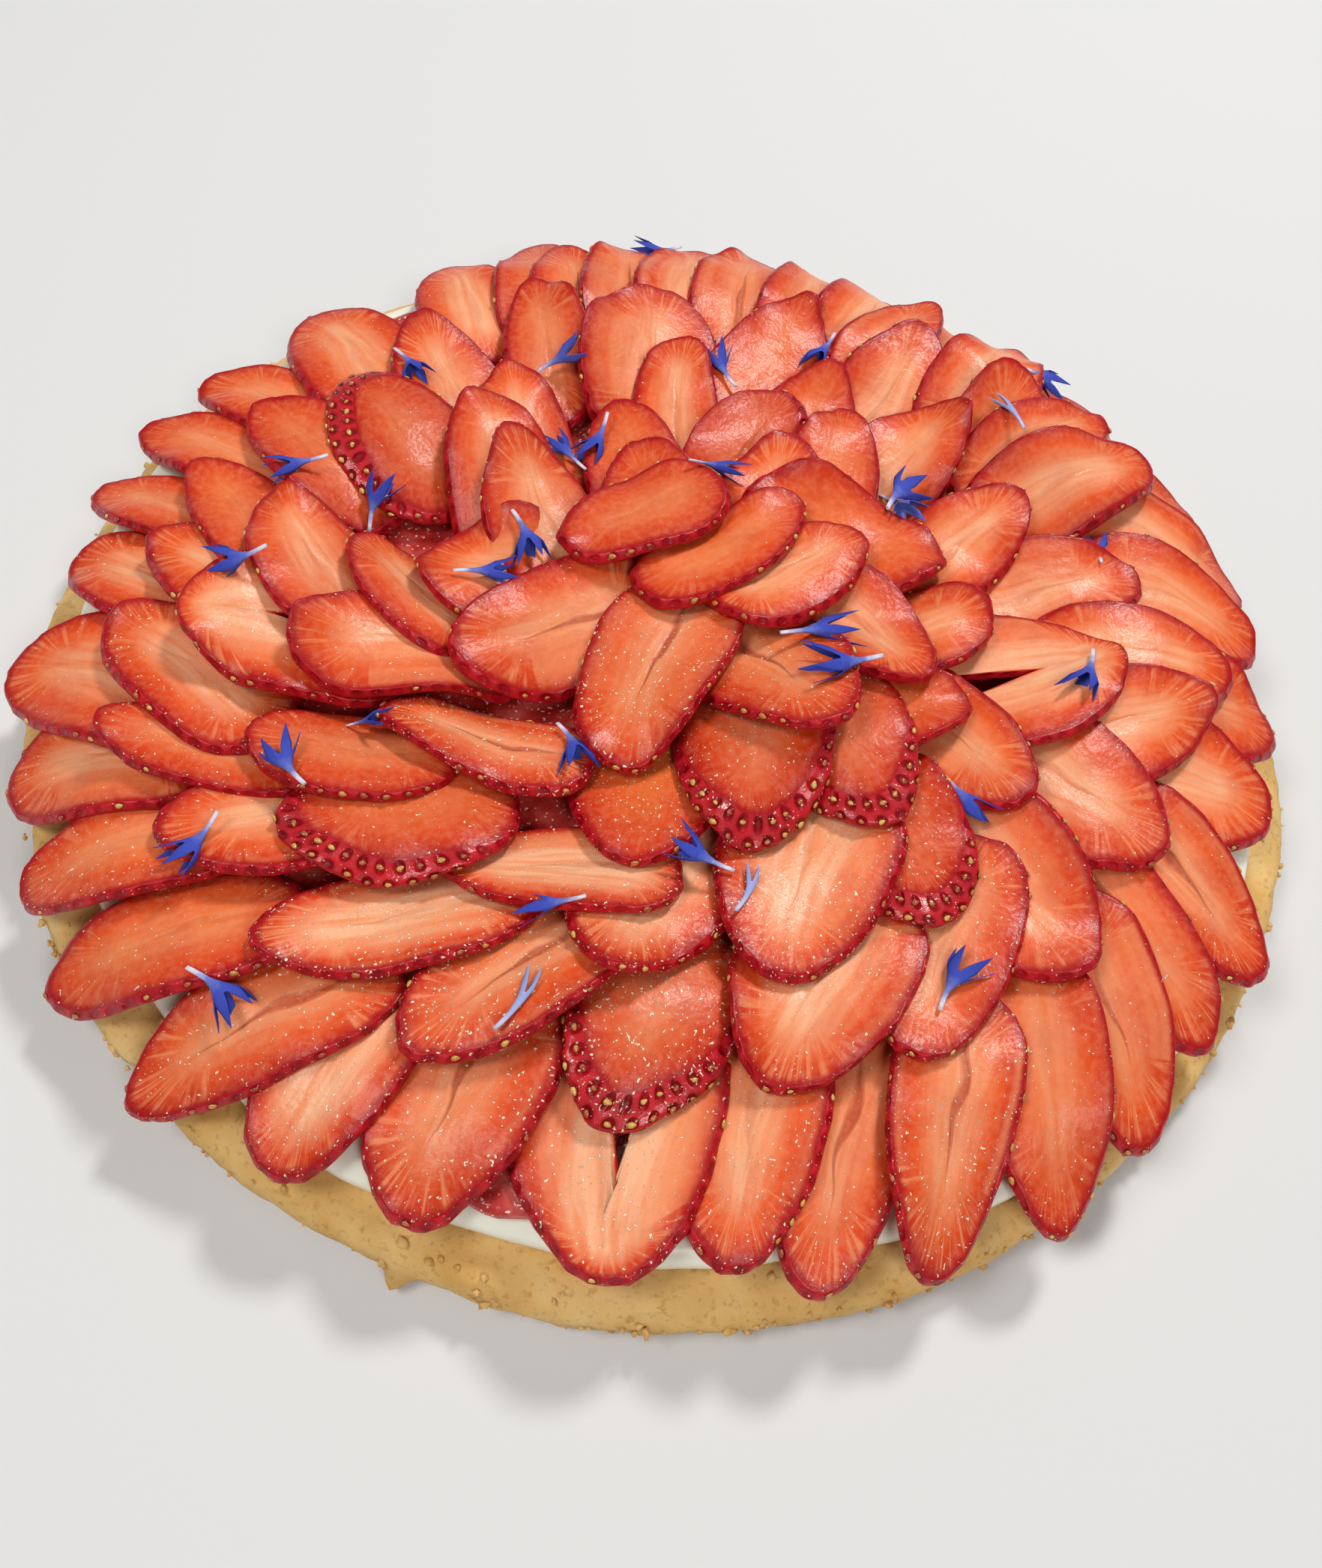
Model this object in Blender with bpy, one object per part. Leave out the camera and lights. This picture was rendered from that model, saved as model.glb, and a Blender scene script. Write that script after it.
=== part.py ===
"""Strawberry tart: a flat shortcrust disc, a layer of cream, a low dome of strawberry compote and a
rosette of about a hundred strawberry slices, laid ring by ring from the edge to the crown.

Units are metres with +Z up. The flat base lies at z = 0, with its centre at the origin. The front of
the tart faces -Y.
"""

import math
import random

import bmesh
import bpy
import numpy as np
from mathutils import Vector

SEED = 7
GAP = 0.0003  # air left between pieces that touch

# The three round layers. A radius is the mean one, because each edge is a little wavy.
EDGE_POINTS = 56
LAYER_SWING = 0.0018  # how far an edge wanders in and out
CRUST_RADIUS = 0.120
CRUST_HEIGHT = 0.0095
CREAM_RADIUS = 0.112
CREAM_HEIGHT = 0.006
COMPOTE_RADIUS = 0.106
COMPOTE_EDGE = 0.002
COMPOTE_RISE = 0.004  # how much higher the compote is at its middle than at its edge

CREAM_BOTTOM = CRUST_HEIGHT + GAP
CREAM_TOP = CREAM_BOTTOM + CREAM_HEIGHT
COMPOTE_BOTTOM = CREAM_TOP + GAP
WAVES = {"crust": (CRUST_RADIUS, 1.0), "cream": (CREAM_RADIUS, 2.6), "compote": (COMPOTE_RADIUS, 4.1)}

# The slices. Each kind is (length, width), and a lower egg value makes a more even oval.
SLICE_POINTS = 14
SLICE_THICK = 0.0022
RIM_SLANT = 0.0012  # the cut face on top is this much smaller all round than the one below
EGG = 0.18
FULLNESS = 0.84  # 1 gives an ellipse, and less gives a squarer outline
KINDS = {
    "long": (0.0462, 0.0216),
    "slim": (0.0396, 0.0184),
    "oval": (0.0418, 0.0238),
    "broad": (0.0418, 0.0292),
    "heart": (0.0418, 0.0324),
    "small": (0.0360, 0.0216),
    "cheek": (0.0396, 0.0270),
}
HEART_NOTCH = 0.008
CHEEK_RISE = 0.0025  # a cheek is the outside of a berry, domed above its cut
CHEEK_SLANT = 0.0020
SIZE_SPREAD = 0.04

# A fan is a few neighbouring slices that lie on one another, stuck together by the glaze. Each upper
# slice sinks a little into the one below it, so a fan is one body.
LAP = 0.0011

# Each ring lists its fans in the order they are laid, clockwise, and each fan lists its slices:
# (azimuth of the outer end, how far out it reaches in mm, turn away from the radius, kind).
# Azimuths run anticlockwise from +X, in degrees.
RINGS = {
    "outer": [
        [(287, 118, -25, "long"), (281, 114, -15, "oval"), (272, 116, 0, "heart")],
        [(257, 115, 0, "broad"), (247, 118, 5, "oval"), (234, 123, -20, "long")],
        [(223, 125, -20, "long")],
        [(215, 123, -10, "long"), (204, 122, -15, "oval"), (192, 121, -25, "broad")],
        [(182, 116, -15, "oval")],
        [(174, 119, -5, "slim")],
        [(164, 119, -5, "long"), (156, 117, 5, "long"), (141, 117, -10, "broad")],
        [(124, 119, -10, "oval"), (114, 121, -10, "long"), (111, 115, -5, "long")],
        [(104, 117, -5, "long"), (96, 119, -5, "oval"), (90, 121, 0, "long")],
        [(81, 120, 0, "long"), (73, 124, 0, "long")],
        [(61, 121, 0, "oval")],
        [(49, 122, 0, "oval"), (37, 122, -30, "oval"), (29, 119, -25, "oval")],
        [(18, 119, -35, "oval"), (12, 117, -25, "oval")],
        [(3, 116, 0, "broad"), (353, 114, 5, "broad"), (336, 119, -20, "oval")],
        [(327, 117, -15, "long"), (317, 120, -25, "long")],
        [(307, 122, -25, "long"), (296, 119, -30, "long")],
    ],
    "second": [
        [(272, 96, -10, "cheek")],
        [(251, 94, -25, "oval"), (234, 96, -30, "long")],
        [(220, 99, -10, "oval"), (205, 103, -25, "slim"), (191, 101, -40, "oval")],
        [(182, 99, -20, "oval"), (169, 98, -35, "slim")],
        [(159, 98, -10, "oval")],
        [(135, 94, -10, "oval")],
        [(118, 94, -10, "slim")],
        [(102, 89, -5, "broad")],
        [(80, 91, -10, "oval")],
        [(67, 108, -5, "slim"), (64, 95, 5, "oval"), (56, 111, 10, "oval")],
        [(50, 96, 20, "small"), (41, 105, 0, "slim"), (34, 107, 0, "long")],
        [(20, 92, 5, "oval"), (5, 105, -5, "oval")],
        [(0, 98, 25, "oval"), (339, 94, -10, "broad")],
        [(321, 94, -10, "broad"), (300, 89, -45, "oval"), (286, 89, -35, "broad")],
    ],
    "third": [
        [(267, 74, -15, "broad"), (241, 66, -55, "slim")],
        [(226, 83, -20, "cheek"), (213, 81, -25, "small")],
        [(195, 88, 0, "heart"), (174, 80, -40, "small")],
        [(150, 87, -10, "cheek")],
        [(130, 71, -15, "small")],
        [(100, 72, 0, "slim")],
        [(72, 73, 0, "small")],
        [(53, 78, 5, "small")],
        [(3, 80, 15, "heart"), (333, 69, -20, "small")],
        [(314, 75, -5, "cheek"), (287, 73, -30, "broad")],
    ],
    "fourth": [
        [(269, 55, 0, "broad")],
        [(214, 58, -40, "slim")],
        [(202, 70, 0, "oval"), (177, 62, -30, "small")],
        [(137, 63, -25, "oval")],
        [(113, 54, 0, "small")],
        [(79, 61, -5, "small")],
        [(64, 61, 15, "small")],
        [(34, 74, 15, "small")],
        [(9, 58, 10, "small")],
        [(347, 53, 30, "small"), (313, 56, -15, "cheek"), (289, 52, -15, "cheek")],
    ],
    "fifth": [
        [(179, 50, 0, "broad"), (143, 49, -20, "small")],
        [(111, 41, 0, "small")],
        [(73, 45, 15, "small"), (26, 52, -20, "broad"), (345, 46, -30, "small")],
    ],
    "crown": [
        [(316, 40, -5, "broad")],
        [(208, 44, 5, "oval"), (256, 38, 0, "oval")],
        [(33, 36, 10, "small"), (52, 31, -5, "slim")],
        [(172, 24, 50, "small")],
    ],
}

GRID = 0.0015  # spacing of the height map that the slices are laid on
SLICE_GAP = 0.0005  # air under a slice, a little more than GAP because the map is coarse
NOTHING = -1.0  # height where the map has nothing to rest on
SOFTENINGS = 8  # how many times a slice is smoothed and let down while it settles
STIFFNESS = 0.75  # share of its bends that each smoothing takes out
TOUCHING = 0.00001  # a slice has settled when it sinks in by less than this


def clear_scene():
    for item in list(bpy.data.objects):
        bpy.data.objects.remove(item)


def new_collection(name, is_helper=False):
    collection = bpy.data.collections.new(name)
    bpy.context.scene.collection.children.link(collection)
    collection.hide_render = is_helper
    return collection


def plain_material(name, colour, roughness):
    material = bpy.data.materials.new(name)
    material.use_nodes = True
    shader = material.node_tree.nodes["Principled BSDF"]
    shader.inputs["Base Color"].default_value = (*colour, 1.0)
    shader.inputs["Roughness"].default_value = roughness
    shader.inputs["Metallic"].default_value = 0.0
    material.diffuse_color = (*colour, 1.0)
    return material


def add_object(name, bm, collection, material):
    """Make an object from a bmesh, with its normals turned outwards."""
    bmesh.ops.recalc_face_normals(bm, faces=bm.faces)
    mesh = bpy.data.meshes.new(name)
    bm.to_mesh(mesh)
    bm.free()
    mesh.materials.append(material)
    item = bpy.data.objects.new(name, mesh)
    collection.objects.link(item)
    return item


def disc_outline(bm, points):
    """A flat filled circle of radius 1. Returns its only face."""
    bmesh.ops.create_circle(bm, cap_ends=True, radius=1.0, segments=points)
    bm.faces.ensure_lookup_table()
    return bm.faces[0]


def extruded(bm, face):
    """Extrude one face on the spot and return its copy, whose corners the caller then moves."""
    is_lowest = len(bm.faces) == 1
    made = bmesh.ops.extrude_face_region(bm, geom=[face], use_keep_orig=True)["geom"]
    if not is_lowest:
        bmesh.ops.delete(bm, geom=[face], context="FACES_ONLY")
    return next(item for item in made if isinstance(item, bmesh.types.BMFace))


# Round layers


def swell(angle, layer):
    """How much wider a hand-made layer is at this angle than its mean circle, as a ratio."""
    radius, phase = WAVES[layer]
    slow = 0.5 * np.sin(2 * angle + phase) + 0.3 * np.sin(5 * angle + 2 * phase)
    return 1 + LAYER_SWING / radius * (slow + 0.2 * np.sin(13 * angle + 3 * phase))


def add_layer(name, rings, collection, material):
    """A round layer from rings of (radius, height), the lowest first, with a wavy outline."""
    bm = bmesh.new()
    face = disc_outline(bm, EDGE_POINTS)
    for index, (radius, height) in enumerate(rings):
        if index:
            face = extruded(bm, face)
        for vert in face.verts:
            angle = math.atan2(vert.co.y, vert.co.x)
            reach = radius * swell(angle, name)
            vert.co = Vector((reach * math.cos(angle), reach * math.sin(angle), height))
    return add_object(name, bm, collection, material)


def compote_top(radius):
    share = np.minimum(radius / COMPOTE_RADIUS, 1.0)
    return COMPOTE_BOTTOM + COMPOTE_EDGE + COMPOTE_RISE * (1 - share**2)


def add_layers(collection):
    crust = plain_material("Shortcrust", (0.60, 0.36, 0.14), 0.8)
    cream = plain_material("Cream", (0.76, 0.68, 0.53), 0.4)
    compote = plain_material("Compote", (0.50, 0.07, 0.05), 0.2)
    crust_rings = [
        (CRUST_RADIUS - 0.0015, 0.0),
        (CRUST_RADIUS, 0.002),
        (CRUST_RADIUS + 0.0003, 0.006),
        (CRUST_RADIUS - 0.0007, 0.0085),
        (CRUST_RADIUS - 0.0025, CRUST_HEIGHT),
    ]
    cream_rings = [
        (CREAM_RADIUS - 0.0015, CREAM_BOTTOM),
        (CREAM_RADIUS, CREAM_BOTTOM + 0.0015),
        (CREAM_RADIUS, CREAM_TOP - 0.0025),
        (CREAM_RADIUS - 0.0012, CREAM_TOP - 0.0007),
        (CREAM_RADIUS - 0.0035, CREAM_TOP),
    ]
    compote_rings = [(COMPOTE_RADIUS, COMPOTE_BOTTOM)]
    for share in (0.995, 0.95, 0.8, 0.55, 0.25):
        radius = share * COMPOTE_RADIUS
        drop = COMPOTE_EDGE / 2 if share > 0.99 else 0.0
        compote_rings.append((radius, compote_top(radius) - drop))
    add_layer("crust", crust_rings, collection, crust)
    add_layer("cream", cream_rings, collection, cream)
    add_layer("compote", compote_rings, collection, compote)


# Slices


class Slice:
    """One slice: where it lies in plan, its size, and the height of each corner once it is laid."""

    def __init__(self, entry, chance):
        azimuth, reach, turn, self.kind = entry
        scale = 1 + chance.uniform(-SIZE_SPREAD, SIZE_SPREAD)
        length, width = KINDS[self.kind]
        self.length = length * scale
        self.width = width * scale
        around = math.radians(azimuth)
        heading = math.radians(azimuth + turn)
        self.along = np.array([math.cos(heading), math.sin(heading)])
        self.across = np.array([-self.along[1], self.along[0]])
        tip = np.array([math.cos(around), math.sin(around)]) * reach / 1000
        self.centre = tip - self.along * self.length / 2
        self.angles = np.arange(SLICE_POINTS) * 2 * math.pi / SLICE_POINTS
        self.corners = np.vstack([self.centre, self.outline(self.angles, 0.0)])
        self.heights = None

    def outline(self, angle, inset):
        """Points of the outline, from the outer end anticlockwise, moved in by inset."""
        cosine, sine = np.cos(angle), np.sin(angle)
        x = (self.length / 2 - inset) * np.sign(cosine) * np.abs(cosine) ** FULLNESS
        y = (self.width / 2 - inset) * np.sign(sine) * np.abs(sine) ** FULLNESS * (1 - EGG * cosine)
        if self.kind == "heart":
            x = x + HEART_NOTCH * (np.abs(angle - math.pi) < 0.2)
        return self.centre + np.outer(x, self.along) + np.outer(y, self.across)

    def covers(self, x, y, margin):
        """Which points of the height map the slice covers, with a margin round it."""
        offset_x = x - self.centre[0]
        offset_y = y - self.centre[1]
        forward = offset_x * self.along[0] + offset_y * self.along[1]
        sideways = np.abs(offset_y * self.along[0] - offset_x * self.along[1])
        share = np.clip(forward / (self.length / 2 + margin), -1, 1)
        power = 2 / FULLNESS
        half = (self.width / 2 + margin) * (1 - np.abs(share) ** power) ** (1 / power) * (1 - EGG * share)
        return (sideways < half) & (np.abs(share) < 1)

    def weights(self, x, y):
        """How much each corner counts at these points, for triangles that meet at the centre."""
        spot = np.stack([x, y], axis=-1) - self.centre
        rays = self.corners[1:] - self.centre
        turned = np.mod(np.arctan2(rays @ self.across, rays @ self.along), 2 * math.pi)
        turned[0] = 0.0
        facing = np.mod(np.arctan2(spot @ self.across, spot @ self.along), 2 * math.pi)
        first = np.searchsorted(turned, facing, side="right") - 1
        second = (first + 1) % SLICE_POINTS
        a, b = rays[first], rays[second]
        area = a[:, 0] * b[:, 1] - a[:, 1] * b[:, 0]
        share_a = (spot[:, 0] * b[:, 1] - spot[:, 1] * b[:, 0]) / area
        share_b = (a[:, 0] * spot[:, 1] - a[:, 1] * spot[:, 0]) / area
        beyond = np.maximum(share_a + share_b, 1.0)  # over 1 in the margin, which takes the edge's height
        share_a /= beyond
        share_b /= beyond
        table = np.zeros((len(spot), SLICE_POINTS + 1))
        row = np.arange(len(spot))
        table[row, 0] = 1 - share_a - share_b
        table[row, first + 1] = share_a
        table[row, second + 1] = share_b
        return table

    def settle(self, x, y, floor):
        """Bend the slice down onto the points of the floor without sinking into any of them."""
        table = self.weights(x, y)
        local = (self.corners - self.centre) / self.length
        flat = np.column_stack([np.ones(len(local)), local])
        bent = np.column_stack([flat, local[:, 0] ** 2, local[:, 1] ** 2, local[:, 0] * local[:, 1]])
        spots = (np.column_stack([x, y]) - self.centre) / self.length
        plane = np.linalg.lstsq(np.column_stack([np.ones(len(spots)), spots]), floor, rcond=None)[0]
        heights = flat @ plane
        for _ in range(SOFTENINGS):
            curved = bent @ np.linalg.lstsq(bent, heights, rcond=None)[0]
            heights = (1 - STIFFNESS) * heights + STIFFNESS * curved
            clear = table @ heights - floor
            heights = raised(table, heights - np.mean(np.maximum(clear, 0)), floor)
        self.heights = heights


def raised(table, heights, floor):
    """Lift the corners round each point that has sunk in, the deepest first."""
    while True:
        lack = floor - table @ heights
        deepest = np.argmax(lack)
        if lack[deepest] < TOUCHING:
            return heights
        row = table[deepest]
        heights = heights + row * lack[deepest] / (row @ row)


class Pile:
    """A height map of what has been laid so far, and which fan lies on top at each point."""

    def __init__(self):
        reach = CRUST_RADIUS + 0.012
        line = np.linspace(-reach, reach, int(2 * reach / GRID) + 1)
        self.x, self.y = np.meshgrid(line, line)
        radius = np.hypot(self.x, self.y)
        angle = np.arctan2(self.y, self.x)
        on_cream = radius < CREAM_RADIUS * swell(angle, "cream") + GRID
        level_radius = radius / swell(angle, "compote")
        on_compote = level_radius < COMPOTE_RADIUS + GRID
        self.top = np.where(on_cream, CREAM_TOP, NOTHING)
        self.top[on_compote] = compote_top(level_radius)[on_compote]
        self.owner = np.zeros(self.x.shape, int)

    def lay(self, piece, fan_number):
        """Settle a slice on the pile: clear of the other fans, and a little into its own."""
        under = piece.covers(self.x, self.y, GRID) & (self.top > NOTHING)
        gap = np.where(self.owner[under] == fan_number, -LAP, SLICE_GAP)
        piece.settle(self.x[under], self.y[under], self.top[under] + gap)
        under = piece.covers(self.x, self.y, GRID)
        rise = SLICE_THICK
        if piece.kind == "cheek":
            share = np.hypot(self.x[under] - piece.centre[0], self.y[under] - piece.centre[1])
            rise += CHEEK_RISE * (1 - np.minimum(share / piece.length * 2, 1) ** 2)
        new_top = piece.weights(self.x[under], self.y[under]) @ piece.heights + rise
        higher = new_top > self.top[under]
        self.top[under] = np.where(higher, new_top, self.top[under])
        self.owner[under] = np.where(higher, fan_number, self.owner[under])


def slice_mesh(piece):
    """A slice as a solid: its underside as laid, drawn up to the smaller cut face on top."""
    bm = bmesh.new()
    bmesh.ops.create_circle(bm, cap_ends=True, cap_tris=True, radius=1.0, segments=SLICE_POINTS)
    cheek = piece.kind == "cheek"
    slant = CHEEK_SLANT if cheek else RIM_SLANT
    drawn = bmesh.ops.extrude_face_region(bm, geom=bm.faces[:], use_keep_orig=True)["geom"]
    upper = {item for item in drawn if isinstance(item, bmesh.types.BMVert)}
    for vert in bm.verts:
        corner = 0
        x, y = piece.centre
        if vert.co.length > 0.5:
            # The circle starts at +Y, and a slice's first corner is its outer end.
            turned = math.atan2(vert.co.y, vert.co.x) - math.pi / 2
            corner = 1 + round(turned / (2 * math.pi) * SLICE_POINTS) % SLICE_POINTS
            inset = slant if vert in upper else 0.0
            x, y = piece.outline(piece.angles[corner - 1 : corner], inset)[0]
        height = float(piece.weights(np.array([x]), np.array([y]))[0] @ piece.heights)
        if vert in upper:
            height += SLICE_THICK + (CHEEK_RISE if cheek and corner == 0 else 0.0)
        vert.co = Vector((x, y, height))
    return bm


def add_fan(name, fan, collection, helpers, material):
    """The lowest slice of a fan is the object, and each one above is joined to it."""
    lowest = add_object(name, slice_mesh(fan[0]), collection, material)
    for level, piece in enumerate(fan[1:], 1):
        upper = add_object(f"{name}_upper_{level}", slice_mesh(piece), helpers, material)
        upper.hide_render = True
        upper.display_type = "WIRE"
        join = lowest.modifiers.new(f"Join {level}", "BOOLEAN")
        join.operation = "UNION"
        join.solver = "EXACT"
        join.object = upper


def add_slices(collection, helpers):
    chance = random.Random(SEED)
    material = plain_material("Strawberry", (0.78, 0.11, 0.03), 0.25)
    pile = Pile()
    fan_number = 0
    for ring, fans in RINGS.items():
        for number, entries in enumerate(fans, 1):
            fan_number += 1
            fan = [Slice(entry, chance) for entry in entries]
            for piece in fan:
                pile.lay(piece, fan_number)
            add_fan(f"slices_{ring}_{number:02d}", fan, collection, helpers, material)


def main():
    clear_scene()
    tart = new_collection("strawberry_tart")
    helpers = new_collection("cutters", is_helper=True)
    add_layers(tart)
    add_slices(tart, helpers)


main()
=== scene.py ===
# %% [markdown]
# # A strawberry tart
# A flat disc of shortcrust carries a layer of cream, a low dome of strawberry compote and about a
# hundred slices of strawberry, laid as a rosette from the edge to the crown. Blue cornflower florets
# are scattered over it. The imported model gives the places. This file gives the looks.

import math
import random
from functools import partial

import bpy
import numpy as np
from mathutils import Matrix, Vector, noise
from mathutils.bvhtree import BVHTree


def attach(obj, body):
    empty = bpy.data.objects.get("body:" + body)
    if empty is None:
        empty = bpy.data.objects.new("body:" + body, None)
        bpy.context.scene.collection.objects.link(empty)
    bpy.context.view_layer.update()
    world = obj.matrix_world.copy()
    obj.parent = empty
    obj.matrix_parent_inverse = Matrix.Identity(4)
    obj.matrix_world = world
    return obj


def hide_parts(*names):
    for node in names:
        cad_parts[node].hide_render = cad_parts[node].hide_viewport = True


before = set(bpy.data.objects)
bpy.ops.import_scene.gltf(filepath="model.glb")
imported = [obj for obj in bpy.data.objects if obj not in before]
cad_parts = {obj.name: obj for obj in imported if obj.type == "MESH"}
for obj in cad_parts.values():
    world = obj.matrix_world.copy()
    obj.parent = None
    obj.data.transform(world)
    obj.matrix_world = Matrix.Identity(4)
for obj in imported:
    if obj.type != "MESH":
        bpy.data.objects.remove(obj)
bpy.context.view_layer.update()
MM = 0.001
FULL_TURN = 2 * math.pi
print("nodes:", len(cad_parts))

# %% [markdown]
# Blender's operators act on whatever is selected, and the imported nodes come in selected. So each
# step starts from an empty selection, and this small tool empties it or picks just what is named.


# %% Selecting
def select_only(*pieces):
    bpy.ops.object.select_all(action="DESELECT")
    for piece in pieces:
        piece.select_set(True)
    if pieces:
        bpy.context.view_layer.objects.active = pieces[0]


# %% [markdown]
# A material is a tree of small nodes, each doing one simple thing. Colours are written as hex, as a
# painter would pick them, and one function turns those into the linear values that shaders expect.
# One more function adds a node of any kind. What it is given goes to the node's inputs in their
# order, or by name, and may be a plain value, a hex colour or another node, which is then linked.


# %% Helpers for materials
def hex_colour(text):
    """A hex colour such as EB5A28 as linear red, green, blue and alpha."""
    values = [int(text[i : i + 2], 16) / 255 for i in (0, 2, 4)]
    linear = [v / 12.92 if v <= 0.04045 else ((v + 0.055) / 1.055) ** 2.4 for v in values]
    return (*linear, 1.0)


def set_inputs(node, inputs):
    """Set a node's inputs, in their order or by name. A node or an output is linked."""
    if isinstance(inputs, dict):
        pairs = [(node.inputs[name], value) for name, value in inputs.items()]
    else:
        pairs = zip([socket for socket in node.inputs if socket.enabled], inputs)
    for socket, value in pairs:
        if isinstance(value, bpy.types.Node):
            value = next(output for output in value.outputs if output.enabled)
        if isinstance(value, bpy.types.NodeSocket):
            node.id_data.links.new(value, socket)
        else:
            socket.default_value = hex_colour(value) if isinstance(value, str) else value


def add_node(tree, kind, *inputs, stops=(), **settings):
    """Add one node. Maths takes its operation first. A ramp's stops are (place, hex colour)."""
    node = tree.nodes.new("ShaderNode" + kind)
    if kind.endswith("Math"):
        node.operation, *inputs = inputs
    for name, value in settings.items():
        setattr(node, name, value)
    set_inputs(node, inputs[0] if inputs and isinstance(inputs[0], dict) else inputs)
    if stops:
        ramp = node.color_ramp.elements
        ramp.remove(ramp[-1])
        ramp[0].position = stops[0][0]
        ramp[0].color = hex_colour(stops[0][1])
        for place, colour in stops[1:]:
            ramp.new(place).color = hex_colour(colour)
    return node


def new_material(name):
    """A material, its shader, and the function that adds a node to it."""
    material = bpy.data.materials.new(name)
    material.use_nodes = True
    tree = material.node_tree
    return material, tree.nodes["Principled BSDF"], partial(add_node, tree)


# %% [markdown]
# The tart is looked down on from the front, at about sixty degrees, with the camera rolled a little.
# It is close, so the near slices look larger than the far ones. A pale floor and large soft lights
# keep the colours true and let the glaze show its highlights.

# %% Camera
CAMERA_AIM = Vector((0.0012, -0.0196, 0.0))
CAMERA_DISTANCE = 0.2563
CAMERA_ELEVATION = math.radians(58.78)
CAMERA_ROLL = math.radians(9.94)
CAMERA_LENS = 30.36

camera_data = bpy.data.cameras.new("camera")
camera_data.lens = CAMERA_LENS
camera_data.clip_start = 0.01
camera = bpy.data.objects.new("camera", camera_data)
bpy.context.scene.collection.objects.link(camera)
tilted = Matrix.Rotation(math.pi / 2 - CAMERA_ELEVATION, 4, "X") @ Matrix.Rotation(CAMERA_ROLL, 4, "Z")
moved_back = Matrix.Translation((0, 0, CAMERA_DISTANCE))
camera.matrix_world = Matrix.Translation(CAMERA_AIM) @ tilted @ moved_back
bpy.context.scene.camera = camera
print("camera at", tuple(round(v, 4) for v in camera.matrix_world.translation))

# %% Floor and lights
# Each light is (place, size, watts), and looks at the middle of the tart.
LIGHTS = {
    "key_light": ((0.30, 0.70, 1.0), 0.22, 9.4),
    "fill_light": ((-0.7, -0.3, 1.2), 0.5, 7.6),
    "front_light": ((0.5, -0.9, 1.1), 0.5, 7.6),
}
FLOOR_GAP = 0.0002

select_only()
bpy.ops.mesh.primitive_plane_add(size=4.0, location=(0, 0, -FLOOR_GAP))
floor = bpy.context.object
floor.name = "floor"
floor_material, shader, _ = new_material("matt_painted_floor")
set_inputs(shader, {"Base Color": "D4D3D1", "Roughness": 0.9})
floor.data.materials.append(floor_material)
for name, (place, size, watts) in LIGHTS.items():
    data = bpy.data.lights.new(name, "AREA")
    data.shape = "DISK"
    data.size = size
    data.energy = watts
    light = bpy.data.objects.new(name, data)
    light.location = place
    light.rotation_euler = (-Vector(place)).to_track_quat("-Z", "Y").to_euler()
    bpy.context.scene.collection.objects.link(light)
world = bpy.data.worlds.new("studio")
world.use_nodes = True
set_inputs(world.node_tree.nodes["Background"], {"Color": "F2F4F7", "Strength": 0.20})
bpy.context.scene.world = world
bpy.context.scene.view_settings.view_transform = "Standard"
print("lights:", len(LIGHTS))

# %% [markdown]
# The shortcrust base was baked flat on a tray and trimmed, so its top ledge is smooth and its side
# is torn and full of crumbs and pores. The disc starts as a circle that is extruded ring by ring,
# and each point then moves by a few sizes of noise: slow waves for the trimming, small lumps for
# the crumbs and sharp holes for the pores.


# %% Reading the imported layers
def outward_at(angle):
    return Vector((math.cos(angle), math.sin(angle), 0))


def gathered(parts):
    """The points and faces of many meshes, each (mesh, matrix), as those of one."""
    points, faces = [], []
    for mesh, matrix in parts:
        start = len(points)
        points += [matrix @ vert.co for vert in mesh.vertices]
        faces += [[start + index for index in face.vertices] for face in mesh.polygons]
    return points, faces


def surface_of(*pieces):
    """The faces of some pieces, ready to cast rays at."""
    return BVHTree.FromPolygons(*gathered((piece.data, Matrix()) for piece in pieces))


def edge_reader(node_name):
    """A function that gives how far a packed layer reaches at an angle and a height."""
    surface = surface_of(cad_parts[node_name])

    def reach(angle, height):
        outward = outward_at(angle)
        hit = surface.ray_cast(Vector((0, 0, height)) + outward * 0.2, -outward)[0]
        return math.hypot(hit.x, hit.y)

    return reach


# %% Making a round layer
def edit_all():
    """Go into edit mode with the whole of the active piece selected."""
    bpy.ops.object.mode_set(mode="EDIT")
    bpy.ops.mesh.select_all(action="SELECT")


def draw_ring(rise, ratio, height):
    """Draw the selected ring of edges up by rise, and make it wider or narrower."""
    bpy.ops.mesh.extrude_edges_move(TRANSFORM_OT_translate={"value": (0, 0, rise)})
    bpy.ops.transform.resize(value=(ratio, ratio, 1), center_override=(0, 0, height))


def close_up():
    """Turn all faces outwards, leave edit mode and shade the active piece smooth."""
    bpy.ops.mesh.select_all(action="SELECT")
    bpy.ops.mesh.normals_make_consistent(inside=False)
    bpy.ops.object.mode_set(mode="OBJECT")
    bpy.ops.object.shade_smooth()


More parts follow.
